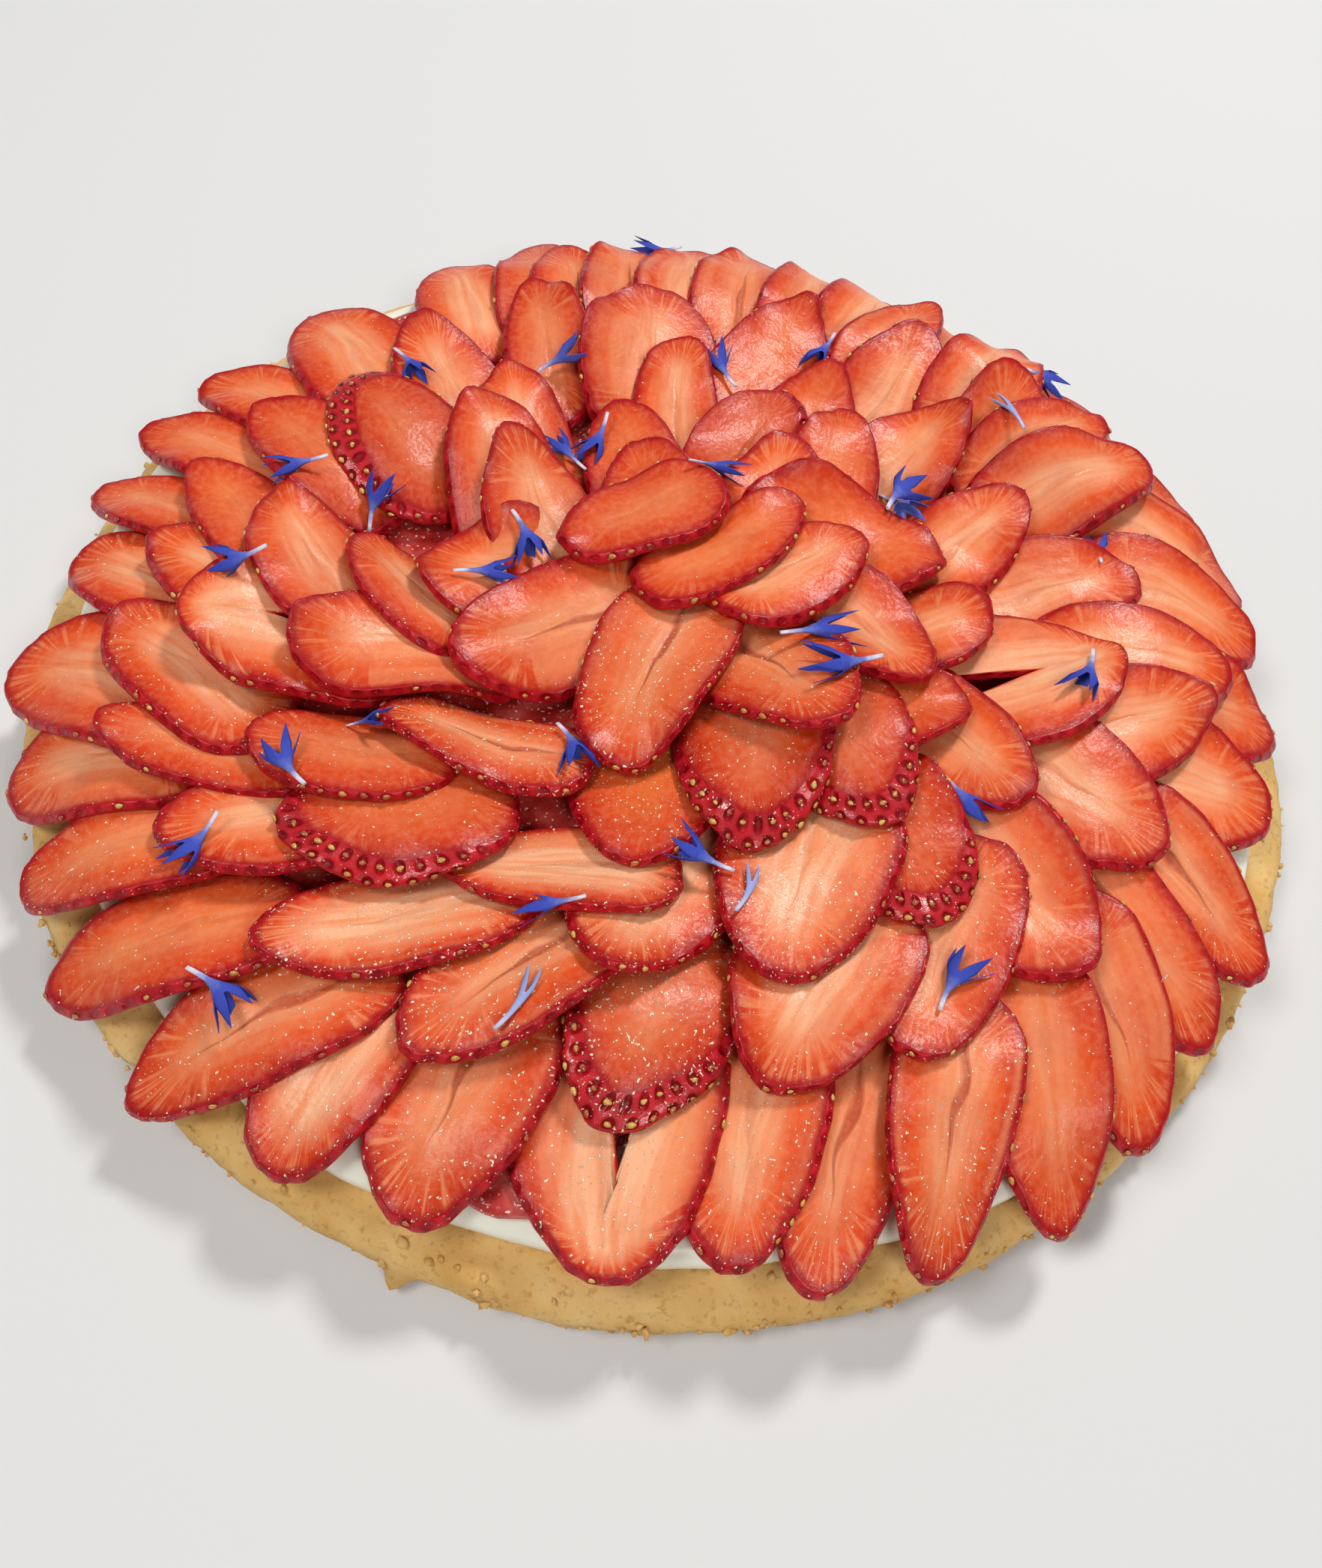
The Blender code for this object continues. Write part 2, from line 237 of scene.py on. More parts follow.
def turned_layer(name, points, rings):
    """A round solid with a ring of points for each (radius, height), the lowest first."""
    select_only()
    radius, height = rings[0]
    bpy.ops.mesh.primitive_circle_add(
        vertices=points, radius=radius, fill_type="TRIFAN", location=(0, 0, height)
    )
    piece = bpy.context.object
    piece.name = name
    bpy.ops.object.transform_apply(location=True)
    edit_all()
    bpy.ops.mesh.flip_normals()
    bpy.ops.mesh.select_mode(type="EDGE")
    bpy.ops.mesh.region_to_loop()
    for (wide, low), (next_wide, high) in zip(rings, rings[1:]):
        draw_ring(high - low, next_wide / wide, high)
    bpy.ops.mesh.edge_face_add()
    bpy.ops.mesh.poke()
    close_up()
    print(name, "has", len(piece.data.polygons), "faces")
    return piece


# %% Shortcrust material
# Baked shortcrust: butter and flour, matt and golden, paler where it is torn and browner along the
# lower edge. Its pores are painted darker, as painted shade in the holes. Patches are 11 mm across,
# pores 2 mm and crumbs 1 mm.
crust_material, shader, add = new_material("baked_shortcrust")
place = add("TexCoord").outputs["Object"]
patches = add("TexNoise", place, 90.0, 4.0)
crumb = add("TexNoise", place, 900.0, 5.0)
golden = add("ValToRGB", patches, stops=[(0.3, "CB9C52"), (0.5, "D8AE68"), (0.72, "E2C082")])
grain = add("ValToRGB", crumb, stops=[(0.28, "D6B88C"), (0.44, "FFFFFF"), (0.7, "FFF8EA")])
speckled = add("Mix", 0.65, golden, grain, data_type="RGBA", blend_type="MULTIPLY")
low = add("MapRange", add("SeparateXYZ", place).outputs["Z"], 0.0, 0.006, 0.75, 0.0)
solid = add("MapRange", add("TexNoise", place, 520.0, 3.0), 0.25, 0.40)
# Painted shade: the pores are painted darker, as the shade in the holes.
pore_painted_shade = add("MapRange", solid, 0.0, 1.0, 0.40, 0.0)
baked = add("Mix", low, speckled, "B27E3C", data_type="RGBA")
holed = add("Mix", pore_painted_shade, baked, "A87434", data_type="RGBA")
level = add("Math", "ADD", solid, crumb)
rough_skin = add("Bump", {"Height": level, "Strength": 0.5, "Distance": 0.0003})
set_inputs(shader, {
    "Base Color": holed, "Normal": rough_skin, "Roughness": 0.75,
    "Subsurface Weight": 0.08, "Subsurface Scale": 0.0015,
})


# %% Tools for shaping and finishing
def clamp(value, low=0.0, high=1.0):
    return min(max(value, low), high)


def hump(angle, middle, width):
    """One at the middle, in degrees, and falling away to nothing on both sides."""
    return math.exp(-(((math.degrees(angle) % 360 - middle) / width) ** 2))


def move_points(piece, mover):
    """Move every point of a piece to mover(point)."""
    for vert in piece.data.vertices:
        vert.co = mover(vert.co.copy())
    piece.data.update()


def finish_piece(piece, material, node_name=None):
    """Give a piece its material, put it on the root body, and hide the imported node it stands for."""
    piece.data.materials.append(material)
    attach(piece, "root")
    if node_name:
        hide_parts(node_name)


# %% Shortcrust base
CRUST_POINTS = 720
CRUST_RADIUS = 0.1202
CRUST_TOP = 0.0095
SIDE_FROM = 0.1165
FLAKE_AT, FLAKE_WIDTH, FLAKE_REACH = 257.5, 0.9, 0.0030
FLAKE_TOP = 0.0035
crust_rings = [
    (0.1183, 0.0), (0.1195, 0.0009), (0.1200, 0.0019), (0.1202, 0.0030), (0.1203, 0.0041),
    (0.1203, 0.0052), (0.1201, 0.0062), (0.1198, 0.0072), (0.1193, 0.0081), (0.1185, 0.0089),
    (0.1175, 0.0094), (0.1162, 0.0095), (0.1148, 0.0095), (0.1134, 0.0095), (0.1120, 0.0095),
    (0.108, 0.0094), (0.098, 0.0094), (0.07, 0.0094),
]
crust_reach = edge_reader("crust")


def torn_crust(point):
    """Trim the edge to its wavy line, then add lumps and pores, mostly on the side."""
    angle = math.atan2(point.y, point.x)
    outward = outward_at(angle)
    radius = math.hypot(point.x, point.y)
    swell = crust_reach(angle, 0.005) / CRUST_RADIUS
    side = clamp((radius - SIDE_FROM) / 0.0025)
    lump = 0.0003 * noise.fractal(point * 260, 0.9, 2.0, 4) - 0.0002
    hole = 0.0011 * max(0.0, noise.noise(point * 430) - 0.30)
    chip = 0.0012 * max(0.0, noise.noise(point * 70) - 0.32) / 0.3
    flake = FLAKE_REACH * hump(angle, FLAKE_AT, FLAKE_WIDTH) * (1 if point.z < FLAKE_TOP else 0.15)
    moved = outward * radius * swell + Vector((0, 0, point.z))
    moved += outward * side * (lump - hole - chip + flake)
    if point.z > 0.008:
        moved.z += (0.25 + 0.5 * side) * (0.4 * lump - 0.5 * hole) - 0.4 * side * chip
    return moved


crust = turned_layer("shortcrust_base", CRUST_POINTS, crust_rings)
move_points(crust, torn_crust)
finish_piece(crust, crust_material, "crust")

# %% [markdown]
# A trimmed edge sheds crumbs. They lie on the ledge and cling to the side. One crumb is a small
# lumpy ball with few faces, because it is repeated some hundreds of times, and each copy is
# turned, stretched and knocked out of shape.


# %% Scattering small things
def keep_values(mesh, name, values, kind="FLOAT"):
    """Keep a number, or a vector's three numbers, for each point of a mesh. Materials read them."""
    key = "value" if kind == "FLOAT" else "vector"
    mesh.attributes.new(name, kind, "POINT").data.foreach_set(key, values)


def scattered(name, originals, places):
    """Copy small originals to places, each a (number, matrix, tone), and join them in one piece.

    The tone is kept on the points of each copy, and so is the original's share, if it has one."""
    points, faces = gathered((originals[number].data, matrix) for number, matrix, _ in places)
    tones, shares = [], []
    for number, _, tone in places:
        mesh = originals[number].data
        tones += [tone] * len(mesh.vertices)
        along = mesh.attributes.get("share")
        shares += [item.value for item in along.data] if along else [0.0] * len(mesh.vertices)
    mesh = bpy.data.meshes.new(name)
    mesh.from_pydata(points, [], faces)
    keep_values(mesh, "tone", tones)
    keep_values(mesh, "share", shares)
    mesh.shade_smooth()
    piece = bpy.data.objects.new(name, mesh)
    bpy.context.scene.collection.objects.link(piece)
    for original in originals:
        bpy.data.objects.remove(original)
    print(name, "has", len(places), "copies and", len(faces), "faces")
    return piece


# %% Crumbs on the base
def lumpy_ball(seed, lumps):
    select_only()
    bpy.ops.mesh.primitive_ico_sphere_add(subdivisions=2, radius=1.0)
    ball = bpy.context.object
    shift = Vector((seed * 7.3, seed * 3.1, 0))
    move_points(ball, lambda point: point * (1 + lumps * noise.noise(point * 1.6 + shift)))
    return ball


CRUMBS = 330
ON_LEDGE = 0.15
chance = random.Random(21)
crumb_places = []
for _ in range(CRUMBS):
    angle = chance.uniform(0, FULL_TURN)
    on_ledge = chance.random() < ON_LEDGE
    height = CRUST_TOP if on_ledge else chance.uniform(0.0008, 0.0088)
    reach = crust_reach(angle, min(height, 0.0085)) - (chance.uniform(0.001, 0.006) if on_ledge else 0)
    size = 0.00025 + 0.0006 * chance.random() ** 3
    spot = outward_at(angle) * reach + Vector((0, 0, height))
    stretch = [size * chance.uniform(0.7, 1.3) for _ in range(3)]
    turn = Matrix.Rotation(chance.uniform(0, 6.28), 4, Vector((chance.random(), chance.random(), 1)))
    matrix = Matrix.Translation(spot) @ turn @ Matrix.Diagonal((*stretch, 1))
    crumb_places.append((chance.randrange(3), matrix, chance.random()))
crumbs = scattered("crust_crumbs", [lumpy_ball(number, 0.7) for number in range(3)], crumb_places)
finish_piece(crumbs, crust_material)

# %% [markdown]
# The cream was spread as one layer and smoothed at its edge with a palette knife, so its side is
# rounded and a little wavy. It is opaque, soft and slightly cool, with light that spreads inside.

# %% Cream material
# Whipped cream with mascarpone: smooth fat and air, ivory, with a soft shine. Its clouds are 8 mm
# across and its ripples 4 mm.
cream_material, shader, add = new_material("whipped_cream")
place = add("TexCoord").outputs["Object"]
ivory = add("ValToRGB", add("TexNoise", place, 120.0, 3.0), stops=[(0.3, "E9E6D2"), (0.7, "F2F0DF")])
ripple = add("TexNoise", place, 260.0, 2.0)
rippled = add("Bump", {"Height": ripple, "Strength": 0.25, "Distance": 0.0006})
set_inputs(shader, {
    "Base Color": ivory, "Normal": rippled, "Roughness": 0.32, "Subsurface Weight": 0.35,
    "Subsurface Scale": 0.004, "Subsurface Radius": (1.0, 0.8, 0.6),
})

# %% Cream layer
CREAM_RADIUS = 0.112
CREAM_EDGE_FROM = 0.104
cream_rings = [
    (0.1104, 0.0098), (0.1114, 0.0102), (0.1119, 0.0109), (0.1121, 0.0118), (0.1121, 0.0127),
    (0.1119, 0.0136), (0.1115, 0.0144), (0.1108, 0.0151), (0.1098, 0.0156), (0.1085, 0.0158),
    (0.107, 0.0158), (0.10, 0.0158), (0.08, 0.0158),
]
cream_reach = edge_reader("cream")


def spread_cream(point):
    angle = math.atan2(point.y, point.x)
    swell = cream_reach(angle, 0.0125) / CREAM_RADIUS
    edge = clamp((math.hypot(point.x, point.y) - CREAM_EDGE_FROM) / 0.006)
    wave = 0.0005 * noise.noise(point * 60) + 0.0002 * noise.noise(point * 170)
    spread = Vector((point.x * swell, point.y * swell, point.z))
    return spread + edge * wave * (outward_at(angle) + Vector((0, 0, 0.3)))


cream = turned_layer("cream_layer", 300, cream_rings)
move_points(cream, spread_cream)
finish_piece(cream, cream_material, "cream")

# %% [markdown]
# Strawberry compote lies on the cream as a low dome. It is fruit cooked soft in its own syrup, so
# it is clear at the edge, lumpy on top and very shiny, and a few dark flecks of fruit show in it.

# %% Compote material
# Strawberry compote set with pectin: pinkish red jelly that light passes into, wet on top. Pulp
# shows in clouds of 6 mm, and the wet top has lumps of 3 mm. Glints under 1 mm are painted near
# white into its colour, as painted highlights.
compote_material, shader, add = new_material("strawberry_compote")
place = add("TexCoord").outputs["Object"]
pulp = add("TexNoise", place, 170.0, 5.0)
reds = add("ValToRGB", pulp, stops=[(0.3, "8E1410"), (0.5, "B5302A"), (0.68, "CC5A50")])
# Painted highlights: near white glints painted into the colour of the wet top.
compote_painted_glint = add("MapRange", add("TexNoise", place, 1300.0, 1.0), 0.66, 0.71, 0.0, 0.8)
compote_with_painted_glints = add("Mix", compote_painted_glint, reds, "FFE6DC", data_type="RGBA")
lumps = add("TexNoise", place, 330.0, 3.0)
wet_top = add("Bump", {"Height": lumps, "Strength": 0.6, "Distance": 0.0012})
set_inputs(shader, {
    "Base Color": compote_with_painted_glints, "Normal": wet_top, "Roughness": 0.22, "Subsurface Weight": 0.45,
    "Subsurface Scale": 0.005, "Subsurface Radius": (1.0, 0.25, 0.15),
    "Coat Weight": 1.0, "Coat Roughness": 0.05,
})

# %% Compote layer
COMPOTE_RADIUS = 0.106
COMPOTE_FOOT, COMPOTE_RISE = 0.0181, 0.004
COMPOTE_EDGE_FROM = 0.098
BULGE_AT, BULGE_WIDTH, BULGE_REACH = 264.0, 5.0, 0.0030
compote_rings = [(0.1052, 0.0161), (0.1060, 0.0166), (0.1060, 0.0172), (0.1055, 0.0178)]
compote_rings += [
    (radius, COMPOTE_FOOT + COMPOTE_RISE * (1 - (radius / COMPOTE_RADIUS) ** 2))
    for radius in (0.1045, 0.103, 0.101, 0.0985, *np.arange(0.096, 0.02, -0.003))
]
compote_reach = edge_reader("compote")


def poured_compote(point):
    angle = math.atan2(point.y, point.x)
    swell = compote_reach(angle, 0.0165) / COMPOTE_RADIUS
    edge = clamp((math.hypot(point.x, point.y) - COMPOTE_EDGE_FROM) / 0.006)
    bulge = BULGE_REACH * hump(angle, BULGE_AT, BULGE_WIDTH)
    lobe = 0.0011 * noise.noise(point * 75) + 0.0005 * noise.noise(point * 210) - 0.0004 + bulge
    moved = Vector((point.x * swell, point.y * swell, point.z)) + edge * lobe * outward_at(angle)
    if point.z > 0.0175:
        moved.z += 0.0006 * noise.fractal(point * 130, 0.9, 2.0, 3)
    return moved


compote = turned_layer("compote_dome", 300, compote_rings)
move_points(compote, poured_compote)
finish_piece(compote, compote_material, "compote")

# %% [markdown]
# The slices are strawberries cut lengthwise, about three millimetres thick. The cut face shows a
# pale core, fine pale rays from the core to the skin and often a dark slit where the core has
# parted. The skin is a narrow, slanted, deep red band round the cut, and the seeds sit in small
# pits in it. Where a slice was taken near the outside of the berry, the band is broad.
#
# The first table is the order in which the slices are laid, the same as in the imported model: rings,
# then a line for each fan of slices that stick together. Each slice has the azimuth of its outer end
# in degrees, its reach in mm, its turn, its kind and its look. The others say what those two mean.

# %% Where the slices lie
RINGS = {
    "outer": """
    287 118 -25 long streak, 281 114 -15 oval core, 272 116 0 heart pale
    257 115 0 broad streak, 247 118 5 oval pale, 234 123 -20 long streak
    223 125 -20 long plain
    215 123 -10 long plain, 204 122 -15 oval core, 192 121 -25 broad core
    182 116 -15 oval core
    174 119 -5 slim plain
    164 119 -5 long plain, 156 117 5 long streak, 141 117 -10 broad core
    124 119 -10 oval core, 114 121 -10 long plain, 111 115 -5 long streak
    104 117 -5 long streak, 96 119 -5 oval core, 90 121 0 long streak
    81 120 0 long core, 73 124 0 long core
    61 121 0 oval core
    49 122 0 oval core, 37 122 -30 oval core, 29 119 -25 oval core
    18 119 -35 oval core, 12 117 -25 oval core
    3 116 0 broad core, 353 114 5 broad core, 336 119 -20 oval streak
    327 117 -15 long streak, 317 120 -25 long streak
    307 122 -25 long plain, 296 119 -30 long streak
    """,
    "second": """
    272 96 -10 cheek skin
    251 94 -25 oval streak, 234 96 -30 long pale
    220 99 -10 oval core, 205 103 -25 slim plain, 191 101 -40 oval core
    182 99 -20 oval core, 169 98 -35 slim flat
    159 98 -10 oval flat
    135 94 -10 oval core
    118 94 -10 slim plain
    102 89 -5 broad core
    80 91 -10 oval flat
    67 108 -5 slim streak, 64 95 5 oval core, 56 111 10 oval core
    50 96 20 small plain, 41 105 0 slim core, 34 107 0 long core
    20 92 5 oval core, 5 105 -5 oval core
    0 98 25 oval core, 339 94 -10 broad core
    321 94 -10 broad core, 300 89 -45 oval core, 286 89 -35 broad pale
    """,
    "third": """
    267 74 -15 broad pale, 241 66 -55 slim pale
    226 83 -20 cheek skin, 213 81 -25 small plain
    195 88 0 heart pale, 174 80 -40 small core
    150 87 -10 cheek skin
    130 71 -15 small core
    100 72 0 slim core
    72 73 0 small flat
    53 78 5 small core
    3 80 15 heart pale, 333 69 -20 small core
    314 75 -5 cheek skin, 287 73 -30 broad pale
    """,
    "fourth": """
    269 55 0 broad flat
    214 58 -40 slim streak
    202 70 0 oval core, 177 62 -30 small core
    137 63 -25 oval core
    113 54 0 small flat
    79 61 -5 small dark
    64 61 15 small flat
    34 74 15 small core
    9 58 10 small core
    347 53 30 small flat, 313 56 -15 cheek skin, 289 52 -15 cheek skin
    """,
    "fifth": """
    179 50 0 broad core, 143 49 -20 small core
    111 41 0 small flat
    73 45 15 small core, 26 52 -20 broad flat, 345 46 -30 small core
    """,
    "crown": """
    316 40 -5 broad slit
    208 44 5 oval streak, 256 38 0 oval slit
    33 36 10 small core, 52 31 -5 slim flat
    172 24 50 small flat
    """,
}

# %% Kinds and looks of slices
# The length and width of each kind.
KINDS = {
    "long": (0.0462, 0.0216),
    "slim": (0.0396, 0.0184),
    "oval": (0.0418, 0.0238),
    "broad": (0.0418, 0.0292),
    "heart": (0.0418, 0.0324),
    "small": (0.0360, 0.0216),
    "cheek": (0.0396, 0.0270),
}

# Each look is (pale core, dark slit, rays, deep red, skin band), all from 0 to 1. The slit is a
# groove, and its darkness is painted shade.
LOOKS = {
    "plain": (0.30, 0.15, 0.5, 0.40, 0.0),
    "core": (0.75, 0.25, 0.8, 0.20, 0.0),
    "streak": (0.50, 0.90, 0.9, 0.30, 0.0),
    "slit": (0.35, 1.00, 0.6, 0.35, 0.0),
    "pale": (1.00, 0.30, 1.0, 0.05, 0.0),
    "flat": (0.10, 0.10, 0.3, 0.45, 0.0),
    "skin": (0.15, 0.10, 0.3, 0.75, 1.0),
    "dark": (0.10, 0.15, 0.4, 1.00, 0.3),
}
print("kinds:", len(KINDS), "looks:", len(LOOKS))

# %% [markdown]
# A slice's plan holds where it lies and how large it is, drawn with the same seed as the packed
# model, so that both agree. Its outline is a full oval, a little egg shaped. The real one also
# tapers to its tip and bows to one side, and a heart has a notch where the stalk was.


# %% The plan and outline of a slice
LAYING_SEED = 7
SIZE_SPREAD = 0.04
FULLNESS = 0.84
EGG = 0.18
HEART_DEPTH = 0.027
NOTCH_WIDTH = 0.12


def slice_plan(entry, chance):
    """Where one slice lies in plan: its centre, its two directions and its size."""
    *numbers, kind, look = entry.split()
    azimuth, reach, turn = (int(number) for number in numbers)
    scale = 1 + chance.uniform(-SIZE_SPREAD, SIZE_SPREAD)
    length, width = KINDS[kind]
    around = math.radians(azimuth)
    heading = math.radians(azimuth + turn)
    along = np.array([math.cos(heading), math.sin(heading)])
    tip = np.array([math.cos(around), math.sin(around)]) * reach * MM
    return {
        "kind": kind, "look": look, "length": length * scale, "width": width * scale,
        "along": along, "across": np.array([-along[1], along[0]]),
        "centre": tip - along * (length * scale) / 2,
    }


def outline(plan, angle, inset):
    """A point of the outline in the slice's own plan, moved in by inset."""
    cosine, sine = math.cos(angle), math.sin(angle)
    x = (plan["length"] / 2 - inset) * math.copysign(abs(cosine) ** FULLNESS, cosine)
    y = (plan["width"] / 2 - inset) * math.copysign(abs(sine) ** FULLNESS, sine) * (1 - EGG * cosine)
    return x, y


def notched(plan, angle, inset):
    """The real outline: tapered to the tip, a little bowed, and notched at a heart's inner end."""
    x, y = outline(plan, angle, inset)
    y *= 1 - plan["taper"] * max(0.0, math.cos(angle)) ** 2
    y += plan["bow"] * (x / plan["length"] * 2) ** 2
    if plan["kind"] == "heart":
        x += HEART_DEPTH * math.exp(-(((abs(angle) - math.pi) / NOTCH_WIDTH) ** 2))
    return x, y


laying = random.Random(LAYING_SEED)
fans = {}
for ring, ring_fans in RINGS.items():
    for number, fan in enumerate(ring_fans.strip().splitlines(), 1):
        fans[f"slices_{ring}_{number:02d}"] = [slice_plan(entry, laying) for entry in fan.split(",")]
print(len(fans), "fans,", sum(len(fan) for fan in fans.values()), "slices")

# %% [markdown]
# A laid slice sags over what is under it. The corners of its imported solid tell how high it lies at
# each point of its rim. A thin plate spline through them is the shape that a limp, springy sheet
# takes, so it bends the flat slice without a crease.


# %% How the slices sag
CORNERS = 14
PACKED_THICK = 0.0022
PACKED_SLANT = {"cheek": 0.0020}
PACKED_NOTCH = 0.008
SAME_SPOT = 2e-5
SLACK = 0.01


def corner_heights(node_name, plan):
    """Find the slice's corners among its node's vertices. Gives plan points and heights."""
    points = np.array([vert.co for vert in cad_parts[node_name].data.vertices])
    slant = PACKED_SLANT.get(plan["kind"], 0.0012)
    spots, heights = [], []
    for corner in range(CORNERS):
        for inset, rise in ((0.0, 0.0), (slant, PACKED_THICK)):
            x, y = outline(plan, corner * FULL_TURN / CORNERS, inset)
            if plan["kind"] == "heart" and corner == CORNERS // 2:
                x += PACKED_NOTCH
            spot = plan["centre"] + x * plan["along"] + y * plan["across"]
            near = points[np.hypot(points[:, 0] - spot[0], points[:, 1] - spot[1]) < SAME_SPOT]
            if len(near):
                spots.append((x, y))
                heights.append(near[:, 2].min() - rise)
    return np.array(spots), np.array(heights)


def spline_terms(spots, places):
    gaps = np.linalg.norm(places[:, None] - spots[None], axis=2)
    return gaps**2 * np.log(gaps + 1e-9)


def sag_of(spots, heights, size):
    """A smooth height function through the corner heights, with a little slack."""
    scaled = spots / size
    count = len(scaled)
    flat = np.column_stack([np.ones(count), scaled])
    matrix = np.zeros((count + 3, count + 3))
    matrix[:count, :count] = spline_terms(scaled, scaled) + SLACK * np.eye(count)
    matrix[:count, count:] = flat
    matrix[count:, :count] = flat.T
    solved = np.linalg.solve(matrix, np.concatenate([heights, np.zeros(3)]))

    def height(x, y):
        place = np.array([[x, y]]) / size
        bend = (spline_terms(scaled, place) @ solved[:count])[0]
        return bend + solved[count] + place[0] @ solved[count + 1 :]

    return height


least = 2 * CORNERS
for node_name, fan in fans.items():
    for plan in fan:
        spots, heights = corner_heights(node_name, plan)
        least = min(least, len(spots))
        plan["sag"] = sag_of(spots, heights, plan["length"] / 2)
print("fewest corners found for a slice:", least)

# %% [markdown]
# The flat slice starts as a filled circle of radius one. Insets draw the rings of its cut face,
# the rim is drawn down and out as the skin, and the underside is closed in the same way. Only then
# is it given the outline of a strawberry. Working on a circle keeps every ring even, and the
# circle's own coordinates are handy later: they say where the core, the rays and the rim lie.


# %% One slice as a round blank
RIM_POINTS = 72
FACE_INSETS = (0.018, 0.05, 0.08, 0.12, 0.16, 0.18, 0.17, 0.12)
SKIN_STEPS = (0.0, 0.10, 0.28, 0.50, 0.72, 0.90, 1.0)
FLARE = 0.3
UNDER_INSETS = (0.3, 0.4)


def round_blank():
    select_only()
    bpy.ops.mesh.primitive_circle_add(vertices=RIM_POINTS, radius=1.0, fill_type="NGON")
    blank = bpy.context.object
    edit_all()
    for step in FACE_INSETS:
        bpy.ops.mesh.inset(thickness=step)
    bpy.ops.mesh.poke()
    bpy.ops.mesh.select_all(action="SELECT")
    bpy.ops.mesh.region_to_loop()
    for step, next_step in zip(SKIN_STEPS, SKIN_STEPS[1:]):
        draw_ring(step - next_step, (1 + FLARE * next_step) / (1 + FLARE * step), -next_step)
    bpy.ops.mesh.edge_face_add()
    for step in UNDER_INSETS:
        bpy.ops.mesh.inset(thickness=step)
    bpy.ops.mesh.poke()
    close_up()
    print("blank:", len(blank.data.vertices), "points,", len(blank.data.polygons), "faces")
    return blank


blank = round_blank()
blank_points = [vert.co.copy() for vert in blank.data.vertices]

# %% [markdown]
# The blank's height is the depth down the skin, so a point is on the cut face, on the skin or on the
# underside. Each goes to its place on a strawberry slice: the skin band is slanted and rounded, and
# on an outside slice it is broad toward the outer end.


# %% From blank to strawberry
THICK = 0.0026
RIM_HEIGHT = THICK - 0.0003
CHEEK_RISE = 0.0020
UNDERCUT = 0.0006
ROUND_UNTIL = 0.75


def band_width(plan, angle):
    """How wide the slanted skin band is at this angle."""
    facing = math.cos(angle - plan["band_side"])
    broad = plan["looks"][4] * max(0.0, facing + 0.25) / 1.25
    return plan["slant"] + 0.0050 * broad + 0.0002 * math.sin(3 * angle + plan["turned"])


def skin_length(plan, angle):
    return math.hypot(band_width(plan, angle), THICK)


def skin_point(plan, angle, depth):
    """A point on the skin in the slice's own space, depth 0 at the cut and 1 at the underside."""
    inward = UNDERCUT * max(0.0, depth - ROUND_UNTIL) ** 2 / (1 - ROUND_UNTIL) ** 2
    if depth < ROUND_UNTIL:
        inward += band_width(plan, angle) * (1 - math.sin(depth / ROUND_UNTIL * math.pi / 2))
    x, y = notched(plan, angle, inward)
    wobble = plan["wobble"](angle)
    height = RIM_HEIGHT * (1 - depth) * (1 + 0.15 * math.sin(math.pi * depth))
    return Vector((x * wobble, y * wobble, height))


def flat_point(plan, angle, share, inset):
    """A point of a flat side, share 0 at the middle and 1 at the rim."""
    x, y = notched(plan, angle, inset)
    wobble = plan["wobble"](angle)
    return Vector((plan["middle"] * (1 - share) + x * share * wobble, y * share * wobble, 0.0))


def cut_point(plan, angle, share):
    """A point on the cut face, with the core's groove and the grain that the knife leaves."""
    point = flat_point(plan, angle, share, band_width(plan, angle))
    height = RIM_HEIGHT + 0.00010 * (1 - share**8)
    if plan["kind"] == "cheek":
        height += CHEEK_RISE * (1 - share**2)
    height += 0.00035 * noise.noise(Vector((point.x, point.y, plan["turned"])) * 150)
    groove = math.exp(-((point.y / (0.07 * plan["width"])) ** 2)) * max(0.0, 1 - share**2)
    point.z = height - 0.0005 * plan["looks"][1] * groove
    return point


# %% Laying the points of a slice
def placed(plan, point):
    """Take a point from the slice's own space to the tart, over what the slice sags on."""
    plane = plan["centre"] + point.x * plan["along"] + point.y * plan["across"]
    return Vector((plane[0], plane[1], plan["sag"](point.x, point.y) + point.z))


def slice_mesh(name, plan):
    """A copy of the blank, shaped and laid, with its maps for the material."""
    mesh = blank.data.copy()
    mesh.name = name
    spots, local = [], []
    for point in blank_points:
        angle = math.atan2(point.y, point.x)
        radius = math.hypot(point.x, point.y)
        if point.z > -0.01:
            spots.append((angle, "cut", radius))
            local.append(cut_point(plan, angle, radius))
        elif point.z > -0.99 or radius > 1 + FLARE - 0.001:
            spots.append((angle, "skin", -point.z))
            local.append(skin_point(plan, angle, -point.z))
        else:
            spots.append((angle, "under", radius / (1 + FLARE)))
            local.append(flat_point(plan, angle, radius / (1 + FLARE), UNDERCUT))
    for vert, point in zip(mesh.vertices, local):
        vert.co = placed(plan, point)
    write_maps(mesh, plan, spots)
    write_values(mesh, plan, spots, local)
    return mesh


# %% [markdown]
# The material has to know where it is on a slice. Two maps tell it: on the cut map, a point has its
# place on the blank's circle, and on the skin map, there is a seed at every pair of whole numbers.
# What differs from slice to slice goes to the points as plain values.


# %% Maps and values of a slice
SEED_ROWS = 0.0021
FIRST_SEED = 0.0009


